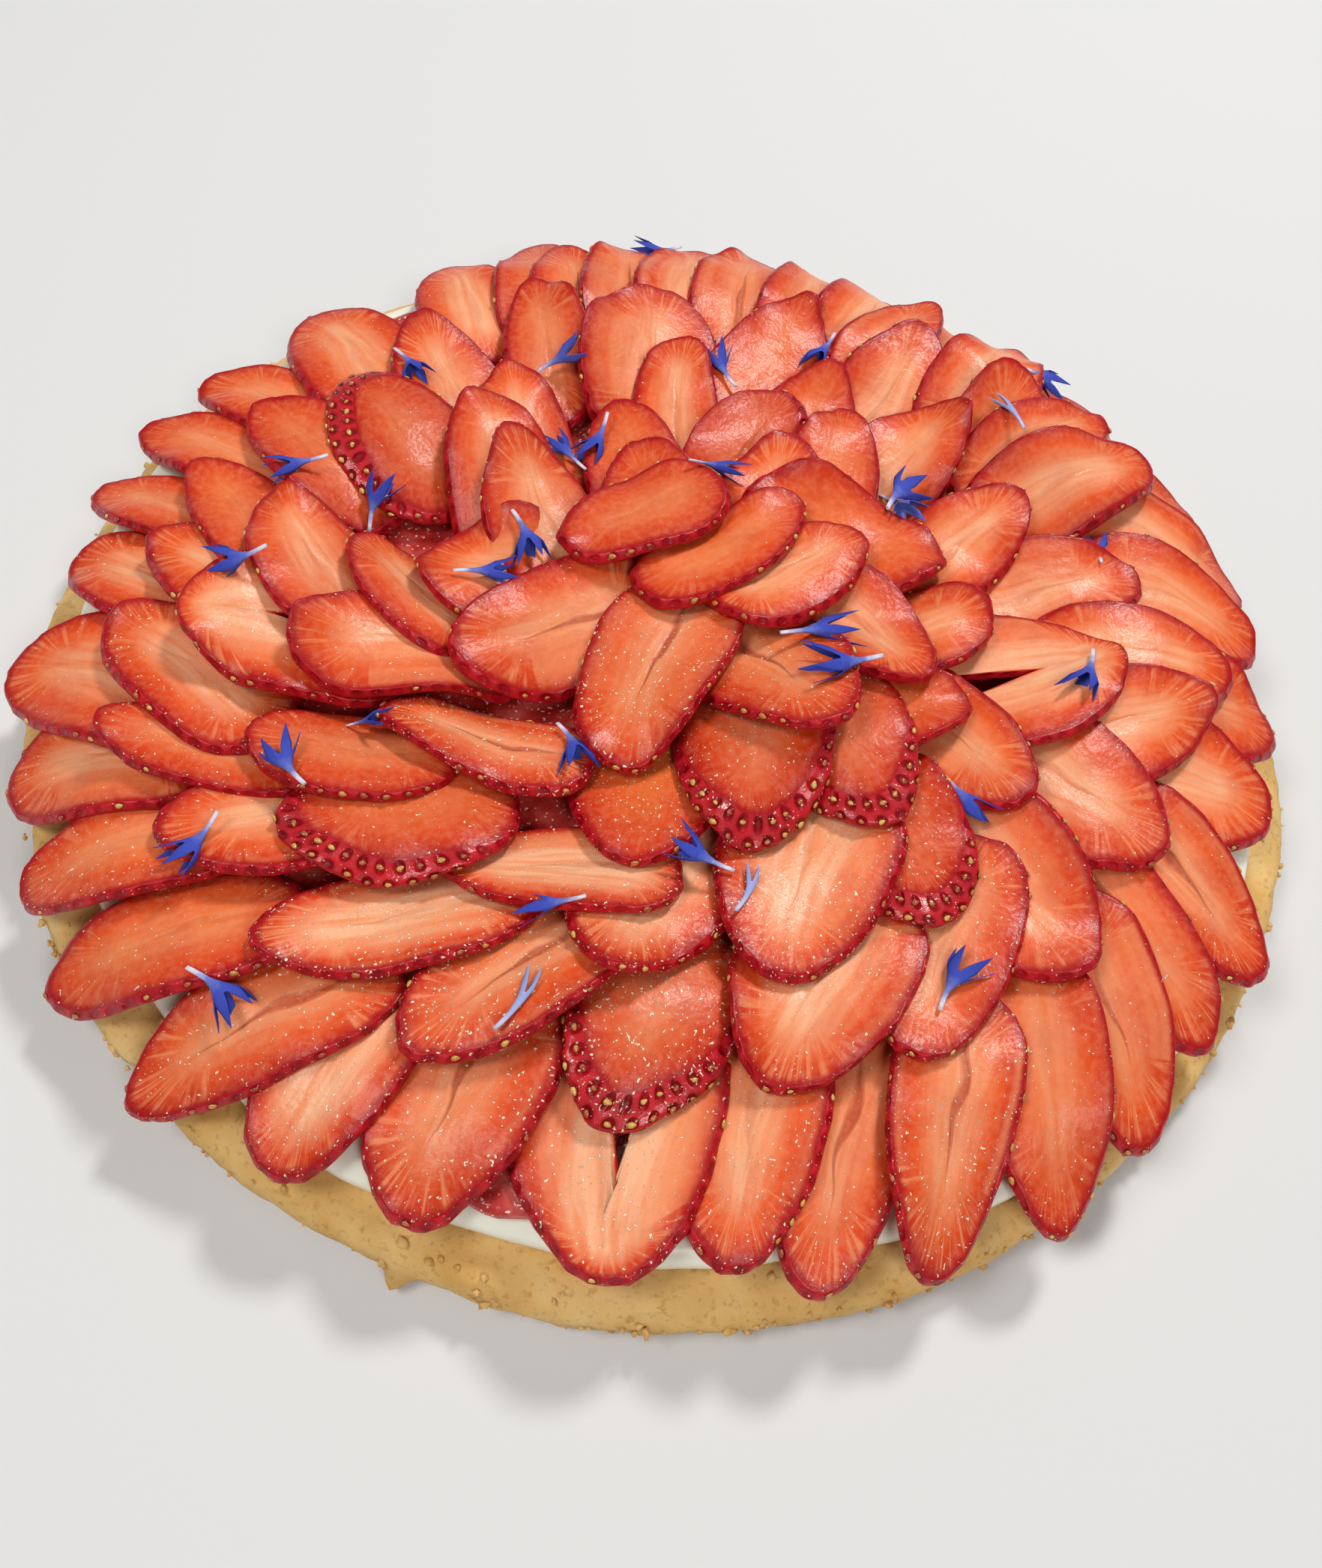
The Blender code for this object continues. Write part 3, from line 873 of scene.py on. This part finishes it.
def write_maps(mesh, plan, spots):
    cut_map = mesh.uv_layers.new(name="cut")
    skin_map = mesh.uv_layers.new(name="skin")
    for face in mesh.polygons:
        corners = [spots[index] for index in face.vertices]
        on_skin = any(part == "skin" and 0 < share < 1 for _, part, share in corners)
        seeds = [plan["seed_at"](angle) for angle, _, _ in corners]
        if max(seeds) - min(seeds) > plan["seeds"] / 2:
            seeds = [seed + plan["seeds"] if seed < plan["seeds"] / 2 else seed for seed in seeds]
        for loop, (angle, part, share), seed in zip(face.loop_indices, corners, seeds):
            depth = share if on_skin and part == "skin" else 0.0
            reach = 1.02 + 0.5 * depth if on_skin else 1.0 if part == "skin" else share
            cut_map.data[loop].uv = (reach * math.cos(angle), reach * math.sin(angle))
            row = (depth * skin_length(plan, angle) - FIRST_SEED) / SEED_ROWS
            skin_map.data[loop].uv = (seed, row)


def write_values(mesh, plan, spots, local):
    fibre = [value for p in local for value in (p.x, p.y, p.z + plan["shift"])]
    tone = [plan["looks"][3], plan["sparkle"], plan["chance"]]
    keep_values(mesh, "fibre", fibre, "FLOAT_VECTOR")
    keep_values(mesh, "look", list(plan["looks"][:3]) * len(local), "FLOAT_VECTOR")
    keep_values(mesh, "band", [clamp(band_width(plan, spot[0]) * 500 - 0.6) for spot in spots])
    keep_values(mesh, "tone", tone * len(local), "FLOAT_VECTOR")


# %% What differs between slices
SEED_STEP = 0.0036
RIM_STEPS = 144
# How high each wave stands, by how many of it go round the rim.
RIM_WAVES = {2: 0.020, 3: 0.018, 5: 0.010, 9: 0.007, 17: 0.007, 27: 0.004}
HEART_MIDDLE = 0.012
# Skin bands turn to the front, and most beads of glaze, with their painted glints, are at the front
# left.
FRONT, FRONT_LEFT = 285.0, 265.0


def seed_counter(plan, chance):
    """Functions from an angle to a seed number, whole at each seed, and back, with uneven steps."""
    angles = np.linspace(-math.pi, math.pi, RIM_STEPS + 1)
    rim = np.array([notched(plan, angle, 0.0) for angle in angles])
    uneven = np.array([chance.uniform(0.75, 1.25) for _ in range(RIM_STEPS)])
    run = np.concatenate([[0], np.cumsum(np.hypot(*np.diff(rim, axis=0).T) * uneven)])
    plan["seeds"] = round(run[-1] / SEED_STEP)
    run *= plan["seeds"] / run[-1]
    plan["seed_at"] = lambda angle: float(np.interp(angle, angles, run))
    plan["angle_of"] = lambda seed: float(np.interp(seed % plan["seeds"], run, angles))


def rim_wobble(chance):
    """An uneven rim: a factor near one for each angle."""
    waves = [
        (count, chance.uniform(0.4, 1.0) * size, chance.uniform(0, 6.28))
        for count, size in RIM_WAVES.items()
    ]
    return lambda angle: 0.995 + sum(size * math.sin(n * angle + phase) for n, size, phase in waves)


def pick_details(plan, chance):
    """Everything about a slice that differs from its neighbours."""
    plan["looks"] = [
        clamp(value + chance.uniform(-0.12, 0.12) * (place < 4))
        for place, value in enumerate(LOOKS[plan["look"]])
    ]
    plan["slant"] = 0.0006 + chance.uniform(-0.0001, 0.0005)
    heading = math.degrees(math.atan2(plan["along"][1], plan["along"][0]))
    to_front = math.radians((FRONT - heading + 180) % 360 - 180)
    plan["band_side"] = clamp(0.5 * to_front, -0.8, 0.8) + chance.uniform(-0.15, 0.15)
    plan["turned"] = chance.uniform(0, 6.28)
    plan["taper"] = chance.uniform(0.0, 0.30) if plan["kind"] in ("long", "oval", "slim") else 0.20
    plan["middle"] = HEART_MIDDLE if plan["kind"] == "heart" else 0.0
    plan["bow"] = chance.uniform(-0.0018, 0.0018)
    plan["shift"] = chance.uniform(0, 9.0)
    plan["chance"] = chance.random()
    # Slices toward the front left get more painted glints.
    azimuth = math.atan2(plan["centre"][1], plan["centre"][0])
    near = max(0.0, math.cos(azimuth - math.radians(FRONT_LEFT)))
    plan["sparkle"] = clamp(0.2 + 0.7 * near + chance.uniform(-0.2, 0.2), 0.1)
    plan["wobble"] = rim_wobble(chance)
    seed_counter(plan, chance)


# %% [markdown]
# The flesh is one material for all slices. On the cut map, the distance from the core gives the
# zones from pale core to crimson rim, and the direction from the core gives the rays. The true
# distances in the slice give the fine grain. Each mark is worked out as a share from 0 to 1. At the
# end they are painted over one another in order, as a painter glazes. Where one share depends on
# another, that other one is the top of its range.

# %% Strawberry material
# Cut strawberry under a thin clear glaze: wet flesh that light enters a little, orange at the core
# and red at the rim, with a glossy skin and fine beads of glaze. The glints of the beads are painted
# into the colour, the slit and the seed pits get painted shade, and the ridges between the pits get
# painted highlights. The noises go from swells of 11 mm to beads of half a millimetre. The number
# called own differs from slice to slice.
flesh_material, shader, add = new_material("glazed_strawberry")
fibre, look, tone = (
    add("Attribute", attribute_name=name).outputs["Vector"] for name in ("fibre", "look", "tone")
)
band = add("Attribute", attribute_name="band").outputs["Fac"]
cut = add("UVMap", uv_map="cut")
pale, slit, rays = add("SeparateXYZ", look).outputs
deep, sparkle, own = add("SeparateXYZ", tone).outputs
x, y, _ = add("SeparateXYZ", cut).outputs
reach = add("VectorMath", "LENGTH", cut)
bend, patches, cloudy, swells, mottle, cells, grain, speck = (
    add("TexNoise", fibre, scale, detail)
    for scale, detail in (
        (90, 1), (110, 2), (220, 3), (260, 2), (300, 3), (850, 2), (1500, 3), (1750, 1),
    )
)

# %% Zones of the flesh
# The core is a line along the berry's axis. From it, share goes from 0 to 1 at the rim.
axis_x = add("Clamp", x, -0.5, 0.35)
from_core = add("CombineXYZ", add("Math", "SUBTRACT", x, axis_x), y)
core_gap = add("VectorMath", "LENGTH", from_core)
rim_gap = add("Math", "SUBTRACT", 1.0, reach, use_clamp=True)
both_gaps = add("Math", "ADD", core_gap, rim_gap)
share = add("Math", "DIVIDE", core_gap, both_gaps)
wander = add("MapRange", cloudy, 0.0, 1.0, -0.08, 0.08)
zone = add("Math", "ADD", share, wander)
flesh = add("ValToRGB", zone, stops=[
    (0.0, "EA742C"), (0.34, "E86A28"), (0.66, "E0541C"), (0.86, "C83412"), (0.95, "A00C10"),
])
soaked = add("MapRange", patches, 0.42, 0.68)

# %% Core and rays
# The pale core, drawn out in streaks along the axis.
streak_place = add("CombineXYZ", x, y, own)
streak_place = add("VectorMath", "MULTIPLY", streak_place, (1.3, 7.0, 40.0))
streaks = add("MapRange", add("TexNoise", streak_place, 1.0, 3.0), 0.30, 0.60, 0.35, 1.0)
paler = add("Math", "SUBTRACT", pale, 0.82, use_clamp=True)
pale_zone = add("Math", "SUBTRACT", zone, paler)
core = add("Math", "MULTIPLY", add("MapRange", pale_zone, 0.62, 0.14, 0.0, streaks), pale)

# Fine pale rays from the core to the skin, between the core and the rim.
direction = add("VectorMath", "NORMALIZE", from_core)
ray_height = add("Math", "MULTIPLY", own, 50.0)
ray_height = add("Math", "MULTIPLY_ADD", share, 1.2, ray_height)
ray_lift = add("CombineXYZ", 0.0, 0.0, ray_height)
ray_place = add("VectorMath", "MULTIPLY_ADD", direction, (11.0, 11.0, 11.0), ray_lift)
ray_room = add("MapRange", share, 0.97, 0.88, 0.0, rays)
ray_room = add("MapRange", share, 0.32, 0.62, 0.0, ray_room)
ray = add("MapRange", add("TexNoise", ray_place, 1.0, 3.5), 0.50, 0.64, 0.0, ray_room)

# %% Slit
# Where the core has parted. It is widest a little inside the middle. It is a groove in the relief,
# and its dark colour is painted shade in that groove.
off_line = add("Math", "ADD", y, add("MapRange", bend, 0.0, 1.0, -0.175, 0.175))
slit_gap = add("Math", "ABSOLUTE", off_line)
along_slit = add("Math", "ABSOLUTE", add("Math", "ADD", x, 0.2))
slit_wide = add("MapRange", along_slit, 0.0, 0.7, 0.085, 0.0)
slit_groove_and_painted_shade = add("MapRange", add("Math", "SUBTRACT", slit_wide, slit_gap), 0.0, 0.05, 0.0, slit)

# %% Rim, skin and seed pits
# Rim and skin are crimson. The rows of seeds are staggered, and each seed sits in a pit, a dent in
# the relief that is painted dark as painted shade. The ridges round the pits are painted lighter, as
# painted highlights.
rim = add("MapRange", add("Math", "MULTIPLY_ADD", wander, 0.35, reach), 0.93, 1.0)
on_skin = add("MapRange", reach, 1.0, 1.02)
skin_reds = add("ValToRGB", mottle, stops=[(0.3, "8C0210"), (0.55, "AC0616"), (0.75, "C4101C")])
seed_u, seed_v, _ = add("SeparateXYZ", add("UVMap", uv_map="skin")).outputs
row = add("Math", "ROUND", seed_v)
odd_row = add("Math", "PINGPONG", row, 1.0)
along_row = add("Math", "MULTIPLY_ADD", odd_row, 0.5, seed_u)
nearest = add("Math", "ROUND", along_row)
from_seed = add(
    "CombineXYZ",
    add("Math", "SUBTRACT", along_row, nearest),
    add("Math", "SUBTRACT", seed_v, row),
)
from_seed = add("VectorMath", "MULTIPLY", from_seed, (3.6, 2.73, 0.0))
pit_gap = add("VectorMath", "LENGTH", from_seed)
pit_room = add("MapRange", band, 0.0, 1.0, 0.35, 1.0)
pit_room = add("Math", "MULTIPLY", pit_room, on_skin)
# The pit's dark colour is painted shade, and the ridge's lighter red is a painted highlight.
pit_dent_and_painted_shade = add("MapRange", pit_gap, 1.15, 0.5, 0.0, pit_room)
ridge_painted_highlight = add("MapRange", pit_gap, 1.1, 1.7, 0.0, on_skin)

# %% Glaze and painted glints
# Fine bright beads of glaze, on some slices more than on others, and in drifts. They stand up in
# the relief, and their near white colour is painted glints.
painted_glint_floor = add("Math", "MULTIPLY_ADD", sparkle, -0.125, 0.775)
painted_glint_floor = add("Math", "MULTIPLY_ADD", wander, -0.5, painted_glint_floor)
bead_and_painted_glint = add("MapRange", add("Math", "SUBTRACT", speck, painted_glint_floor), 0.0, 0.045)
# Paler flecks in small cells inside the rim.
pale_flecks = add("MapRange", cells, 0.40, 0.70, 0.0, 0.16)
inside_rim = add("MapRange", reach, 1.0, 0.9)

# %% Paint and relief
# Each layer of paint is (where it goes, how much it covers, colour), the lowest first. The slit and
# the pits carry painted shade, and the ridges and the beads painted highlights.
LAYERS = (
    (soaked, 0.45, "C8380C"), (deep, 0.62, "B01C0C"), (core, 0.95, "EEB288"), (ray, 0.52, "EE9C68"),
    (slit_groove_and_painted_shade, 0.75, "A42810"), (rim, 1.0, "A00612"), (on_skin, 1.0, skin_reds), (ridge_painted_highlight, 0.35, "D02C34"),
    (pit_dent_and_painted_shade, 0.50, "5C040C"), (inside_rim, pale_flecks, "F0A078"), (bead_and_painted_glint, 0.85, "FFECCB"),
)
colour = flesh
for mark, cover, paint in LAYERS:
    colour = add("Mix", add("Math", "MULTIPLY", mark, cover), colour, paint, data_type="RGBA")
# The relief adds up how high each mark stands.
level = 0.0
for mark, height in ((grain, 0.10), (swells, 0.35), (bead_and_painted_glint, 0.30), (slit_groove_and_painted_shade, -0.4), (pit_dent_and_painted_shade, -0.9)):
    level = add("Math", "MULTIPLY_ADD", mark, height, level)
relief = add("Bump", {"Height": level, "Strength": 0.9, "Distance": 0.0009})
glossy = add("Math", "MULTIPLY", on_skin, band)
set_inputs(shader, {
    "Base Color": colour, "Normal": relief, "Roughness": 0.40, "Specular IOR Level": 0.20,
    "Subsurface Weight": 0.15, "Subsurface Scale": 0.003, "Subsurface Radius": (1.0, 0.28, 0.12),
    "Coat Normal": relief, "Coat Weight": add("MapRange", glossy, 0.0, 1.0, 0.13, 0.55),
    "Coat Roughness": 0.14, "Coat IOR": 1.42,
})
print("paint layers on the flesh:", len(LAYERS))

# %% Lay the slices
details = random.Random(11)
fan_pieces = []
for node_name, fan in fans.items():
    slices = []
    for number, plan in enumerate(fan):
        pick_details(plan, details)
        mesh = slice_mesh(f"{node_name}_slice_{number}", plan)
        slices.append(bpy.data.objects.new(mesh.name, mesh))
        bpy.context.scene.collection.objects.link(slices[-1])
    select_only(*slices)
    if len(slices) > 1:
        bpy.ops.object.join()
    piece = slices[0]
    piece.name = node_name.replace("slices", "strawberry_fan")
    finish_piece(piece, flesh_material, node_name)
    fan_pieces.append(piece)
bpy.data.objects.remove(blank)
print(len(fan_pieces), "fans with", sum(len(p.data.polygons) for p in fan_pieces), "faces")

# %% [markdown]
# The seeds sit in the pits of the skin, long side along the rim. A seed is a small drop with few
# faces. The skin map already counts the seeds, so every whole number on it gets one, and some are
# left out, as rubbed off by the knife.

# %% Seed material
# Strawberry seed: a hard, dry, straw coloured nutlet, some of them reddish.
seed_material, shader, add = new_material("strawberry_seed")
tint = add("Attribute", attribute_name="tone").outputs["Fac"]
straw = [(0.0, "9A3A1E"), (0.4, "B26A2A"), (0.75, "C88F3E"), (1.0, "D4B058")]
set_inputs(shader, {
    "Base Color": add("ValToRGB", tint, stops=straw), "Roughness": 0.35, "Coat Weight": 0.6,
})

# %% Lay the seeds
SEED_SHAPE = (0.72, 0.46, 0.30)
MOST_ROWS, DEEPEST = 4, 0.8
WIDE_BAND, FEW_RUBBED, MOST_RUBBED = 0.0025, 0.10, 0.72
select_only()
bpy.ops.mesh.primitive_uv_sphere_add(segments=8, ring_count=5, radius=1.0)
seed_drop = bpy.context.object
move_points(seed_drop, lambda p: Vector((p.x, p.y * (1 - 0.35 * p.x), p.z * (1 - 0.35 * p.x))))


def turned_to(x_axis, y_axis, z_axis):
    """The matrix that turns a thing to these three directions."""
    return Matrix((x_axis, y_axis, z_axis)).transposed().to_4x4()


def skin_seeds(plan, chance):
    """A (number, matrix, tone) for each seed of one slice."""
    found = []
    centre = placed(plan, Vector((0, 0, 0)))

    def on_skin(angle, depth):
        return placed(plan, skin_point(plan, angle, depth))

    for row in range(MOST_ROWS):
        for count in range(plan["seeds"]):
            counted = count - 0.5 * (row % 2)
            angle = plan["angle_of"](counted)
            depth = (FIRST_SEED + row * SEED_ROWS) / skin_length(plan, angle)
            rubbed_off = FEW_RUBBED if band_width(plan, angle) > WIDE_BAND else MOST_RUBBED
            if depth > DEEPEST or chance.random() < rubbed_off:
                continue
            spot, below = on_skin(angle, depth), on_skin(angle, depth + 0.1)
            beside = on_skin(plan["angle_of"](counted + 0.1), depth)
            along = (beside - spot).normalized()
            outward = along.cross(spot - below).normalized()
            if outward.dot(spot - centre) < 0:
                outward = -outward
            turn = turned_to(along, outward.cross(along), outward)
            turn = turn @ Matrix.Rotation(chance.uniform(-0.4, 0.4), 4, "Z")
            size = chance.uniform(0.75, 1.1) * MM
            stretch = Matrix.Diagonal((*(side * size for side in SEED_SHAPE), 1))
            found.append((0, Matrix.Translation(spot) @ turn @ stretch, chance.random()))
    return found


seed_places = []
for fan in fans.values():
    for plan in fan:
        seed_places += skin_seeds(plan, details)
seeds = scattered("strawberry_seeds", [seed_drop], seed_places)
finish_piece(seeds, seed_material)

# %% [markdown]
# Cornflower florets are the blue garnish. One floret is a thin tube that opens into a trumpet with
# four or five pointed lobes. A ring of edges is drawn out along the tube, the strips between the
# lobes are taken away, and the sheet is made as thick as a petal. Tails are pale and lobes blue.


# %% One floret
FLORET_LENGTH = 0.0125
TUBE_RINGS, LOBE_RINGS = 6, 5
TUBE_SHARE = 0.62
LOBE_POINTS = 5
PETAL_THICK = 0.00016


def tube_radius(share, mouth):
    return (0.35 + 0.35 * share + mouth * max(0.0, share - 0.3) ** 1.6 * 5.2) * MM


def notched_tube(lobes):
    """A tube on end, one high for each ring, without the strips between its lobes."""
    around = lobes * LOBE_POINTS
    select_only()
    bpy.ops.mesh.primitive_circle_add(vertices=around, radius=1.0, fill_type="NOTHING")
    piece = bpy.context.object
    edit_all()
    for _ in range(TUBE_RINGS + LOBE_RINGS):
        bpy.ops.mesh.extrude_edges_move(TRANSFORM_OT_translate={"value": (0, 0, 1)})
    bpy.ops.object.mode_set(mode="OBJECT")
    for face in piece.data.polygons:
        low = min(piece.data.vertices[index].co.z for index in face.vertices)
        turned = (math.atan2(face.center.y, face.center.x) - math.pi / 2) / (FULL_TURN / around)
        web = math.floor(turned + 100 * around + 0.001) % LOBE_POINTS == LOBE_POINTS - 1
        face.select = web and low > TUBE_RINGS - 0.5
    bpy.ops.object.mode_set(mode="EDIT")
    bpy.ops.mesh.select_mode(type="FACE")
    bpy.ops.mesh.delete(type="FACE")
    bpy.ops.object.mode_set(mode="OBJECT")
    return piece


def floret(lobes, mouth, seed):
    """A floret along +X from its tail at 0 to the tips of its lobes."""
    piece = notched_tube(lobes)
    step = FULL_TURN / (lobes * LOBE_POINTS)
    middle = (LOBE_POINTS - 1) / 2
    edge = tube_radius(TUBE_SHARE, mouth)
    shares = []
    for vert in piece.data.vertices:
        ring = round(vert.co.z)
        turned = (math.atan2(vert.co.y, vert.co.x) - math.pi / 2) / step + 100 * lobes * LOBE_POINTS
        spot = round(turned) % (lobes * LOBE_POINTS)
        lobe, place = divmod(spot, LOBE_POINTS)
        if ring <= TUBE_RINGS:
            share = TUBE_SHARE * ring / TUBE_RINGS
            radius, angle, across = tube_radius(share, mouth), spot * step, 0.0
        else:
            out = (ring - TUBE_RINGS) / LOBE_RINGS
            share = TUBE_SHARE + (1 - TUBE_SHARE) * out * (1 + 0.15 * math.sin(lobe * 2.4 + seed))
            radius, angle = edge * (1 + 0.9 * out), (lobe * LOBE_POINTS + middle) * step
            across = (place - middle) / middle * edge * math.sin(math.pi / lobes)
            across *= (1 - out**1.5) * (1 - 0.15 * out)
        side = Vector((0, -math.sin(angle), math.cos(angle)))
        place = Vector((0, math.cos(angle), math.sin(angle))) * radius + side * across
        bend = 0.0012 * math.sin(3.1 * share + seed)
        vert.co = Vector((share * FLORET_LENGTH, place.y + bend, place.z))
        shares.append(share)
    keep_values(piece.data, "share", shares)
    select_only(piece)
    petal = piece.modifiers.new("petal", "SOLIDIFY")
    petal.thickness = PETAL_THICK
    petal.offset = 0.0
    bpy.ops.object.modifier_apply(modifier="petal")
    return piece


# %% Floret material
# Cornflower petal: thin and matt, blue with a violet cast, whitish lilac where the tube begins. Its
# veins are drawn 1 mm apart.
petal_material, shader, add = new_material("cornflower_petal")
along = add("Attribute", attribute_name="share").outputs["Fac"]
tint = add("Attribute", attribute_name="tone").outputs["Fac"]
veins = add("TexNoise", add("TexCoord").outputs["Object"], 900.0, 2.0)
veins = add("MapRange", veins, 0.0, 1.0, -0.125, 0.125)
tail_to_tip = [(0.10, "D6D0DE"), (0.32, "6A74BC"), (0.55, "3C4AAC"), (0.95, "2E3C9C")]
blues = add("ValToRGB", add("Math", "ADD", along, veins), stops=tail_to_tip)
faded = add("MapRange", tint, 0.85, 1.0, 0.0, 0.7)
set_inputs(shader, {
    "Base Color": add("Mix", faded, blues, "AEB6DC", data_type="RGBA"),
    "Roughness": 0.7, "Specular IOR Level": 0.2,
})

# %% Scatter the florets
# Each is (azimuth in degrees, reach in mm, heading in degrees, size, which floret).
FLORETS = [
    (101, 113, 200, 1.0, 0), (119, 68, 40, 1.0, 1), (142, 81, 310, 1.0, 0), (91, 66, 120, 1.0, 0),
    (76, 78, 260, 1.0, 1), (49, 102, 20, 1.1, 0), (46, 82, 130, 0.9, 2), (44, 53, 60, 1.2, 0),
    (41, 50, 300, 1.1, 0), (121, 45, 250, 1.0, 0), (130, 45, 150, 1.0, 1), (86, 27, 10, 1.0, 0),
    (165, 62, 80, 1.0, 0), (168, 78, 220, 1.0, 1), (168, 32, 300, 1.0, 0), (183, 36, 30, 1.0, 1),
    (187, 77, 190, 1.0, 0), (24, 86, 100, 0.8, 1), (358, 72, 250, 1.0, 0), (341, 26, 20, 1.25, 0),
    (332, 31, 200, 1.25, 0), (330, 61, 330, 1.0, 1), (310, 83, 60, 1.0, 0), (280, 52, 160, 1.0, 0),
    (287, 58, 80, 0.9, 2), (247, 38, 300, 1.0, 0), (217, 60, 10, 0.8, 1), (219, 75, 130, 1.0, 0),
    (222, 94, 240, 1.0, 0), (259, 66, 200, 1.0, 1), (235, 104, 330, 1.0, 0), (260, 81, 70, 1.0, 2),
]
LIES_ABOVE = 0.0011
surface = surface_of(*fan_pieces, compote, cream, crust)


def top_at(spot):
    """The place and the direction that the tart's surface faces, above or below a spot."""
    return surface.ray_cast(Vector((spot.x, spot.y, 0.2)), Vector((0, 0, -1)))[:2]


floret_places = []
for azimuth, reach, heading, size, number in FLORETS:
    middle = outward_at(math.radians(azimuth)) * reach * MM
    ahead = outward_at(math.radians(heading))
    half = FLORET_LENGTH * size * 0.42
    tail, mid, mouth = (top_at(middle + ahead * step * half)[0] for step in (-1, 0, 1))
    along = (mouth - tail).normalized()
    across = top_at(middle)[1].cross(along).normalized()
    above = along.cross(across)
    lift = max(mid.z - (tail.z + mouth.z) / 2, 0.0) + LIES_ABOVE * size
    base = tail - along * 0.08 * FLORET_LENGTH * size + above * lift
    roll = Matrix.Rotation(details.uniform(-0.6, 0.6), 4, "X")
    shape = Matrix.Diagonal((size * 0.9, size * 0.85, size * 0.5, 1))
    matrix = Matrix.Translation(base) @ turned_to(along, across, above) @ shape @ roll
    floret_places.append((number, matrix, details.random() if number < 2 else 1.0))
florets = [floret(5, 2.2, 0.0), floret(4, 1.8, 1.7), floret(4, 0.5, 3.1)]
garnish = scattered("cornflower_florets", florets, floret_places)
finish_piece(garnish, petal_material)
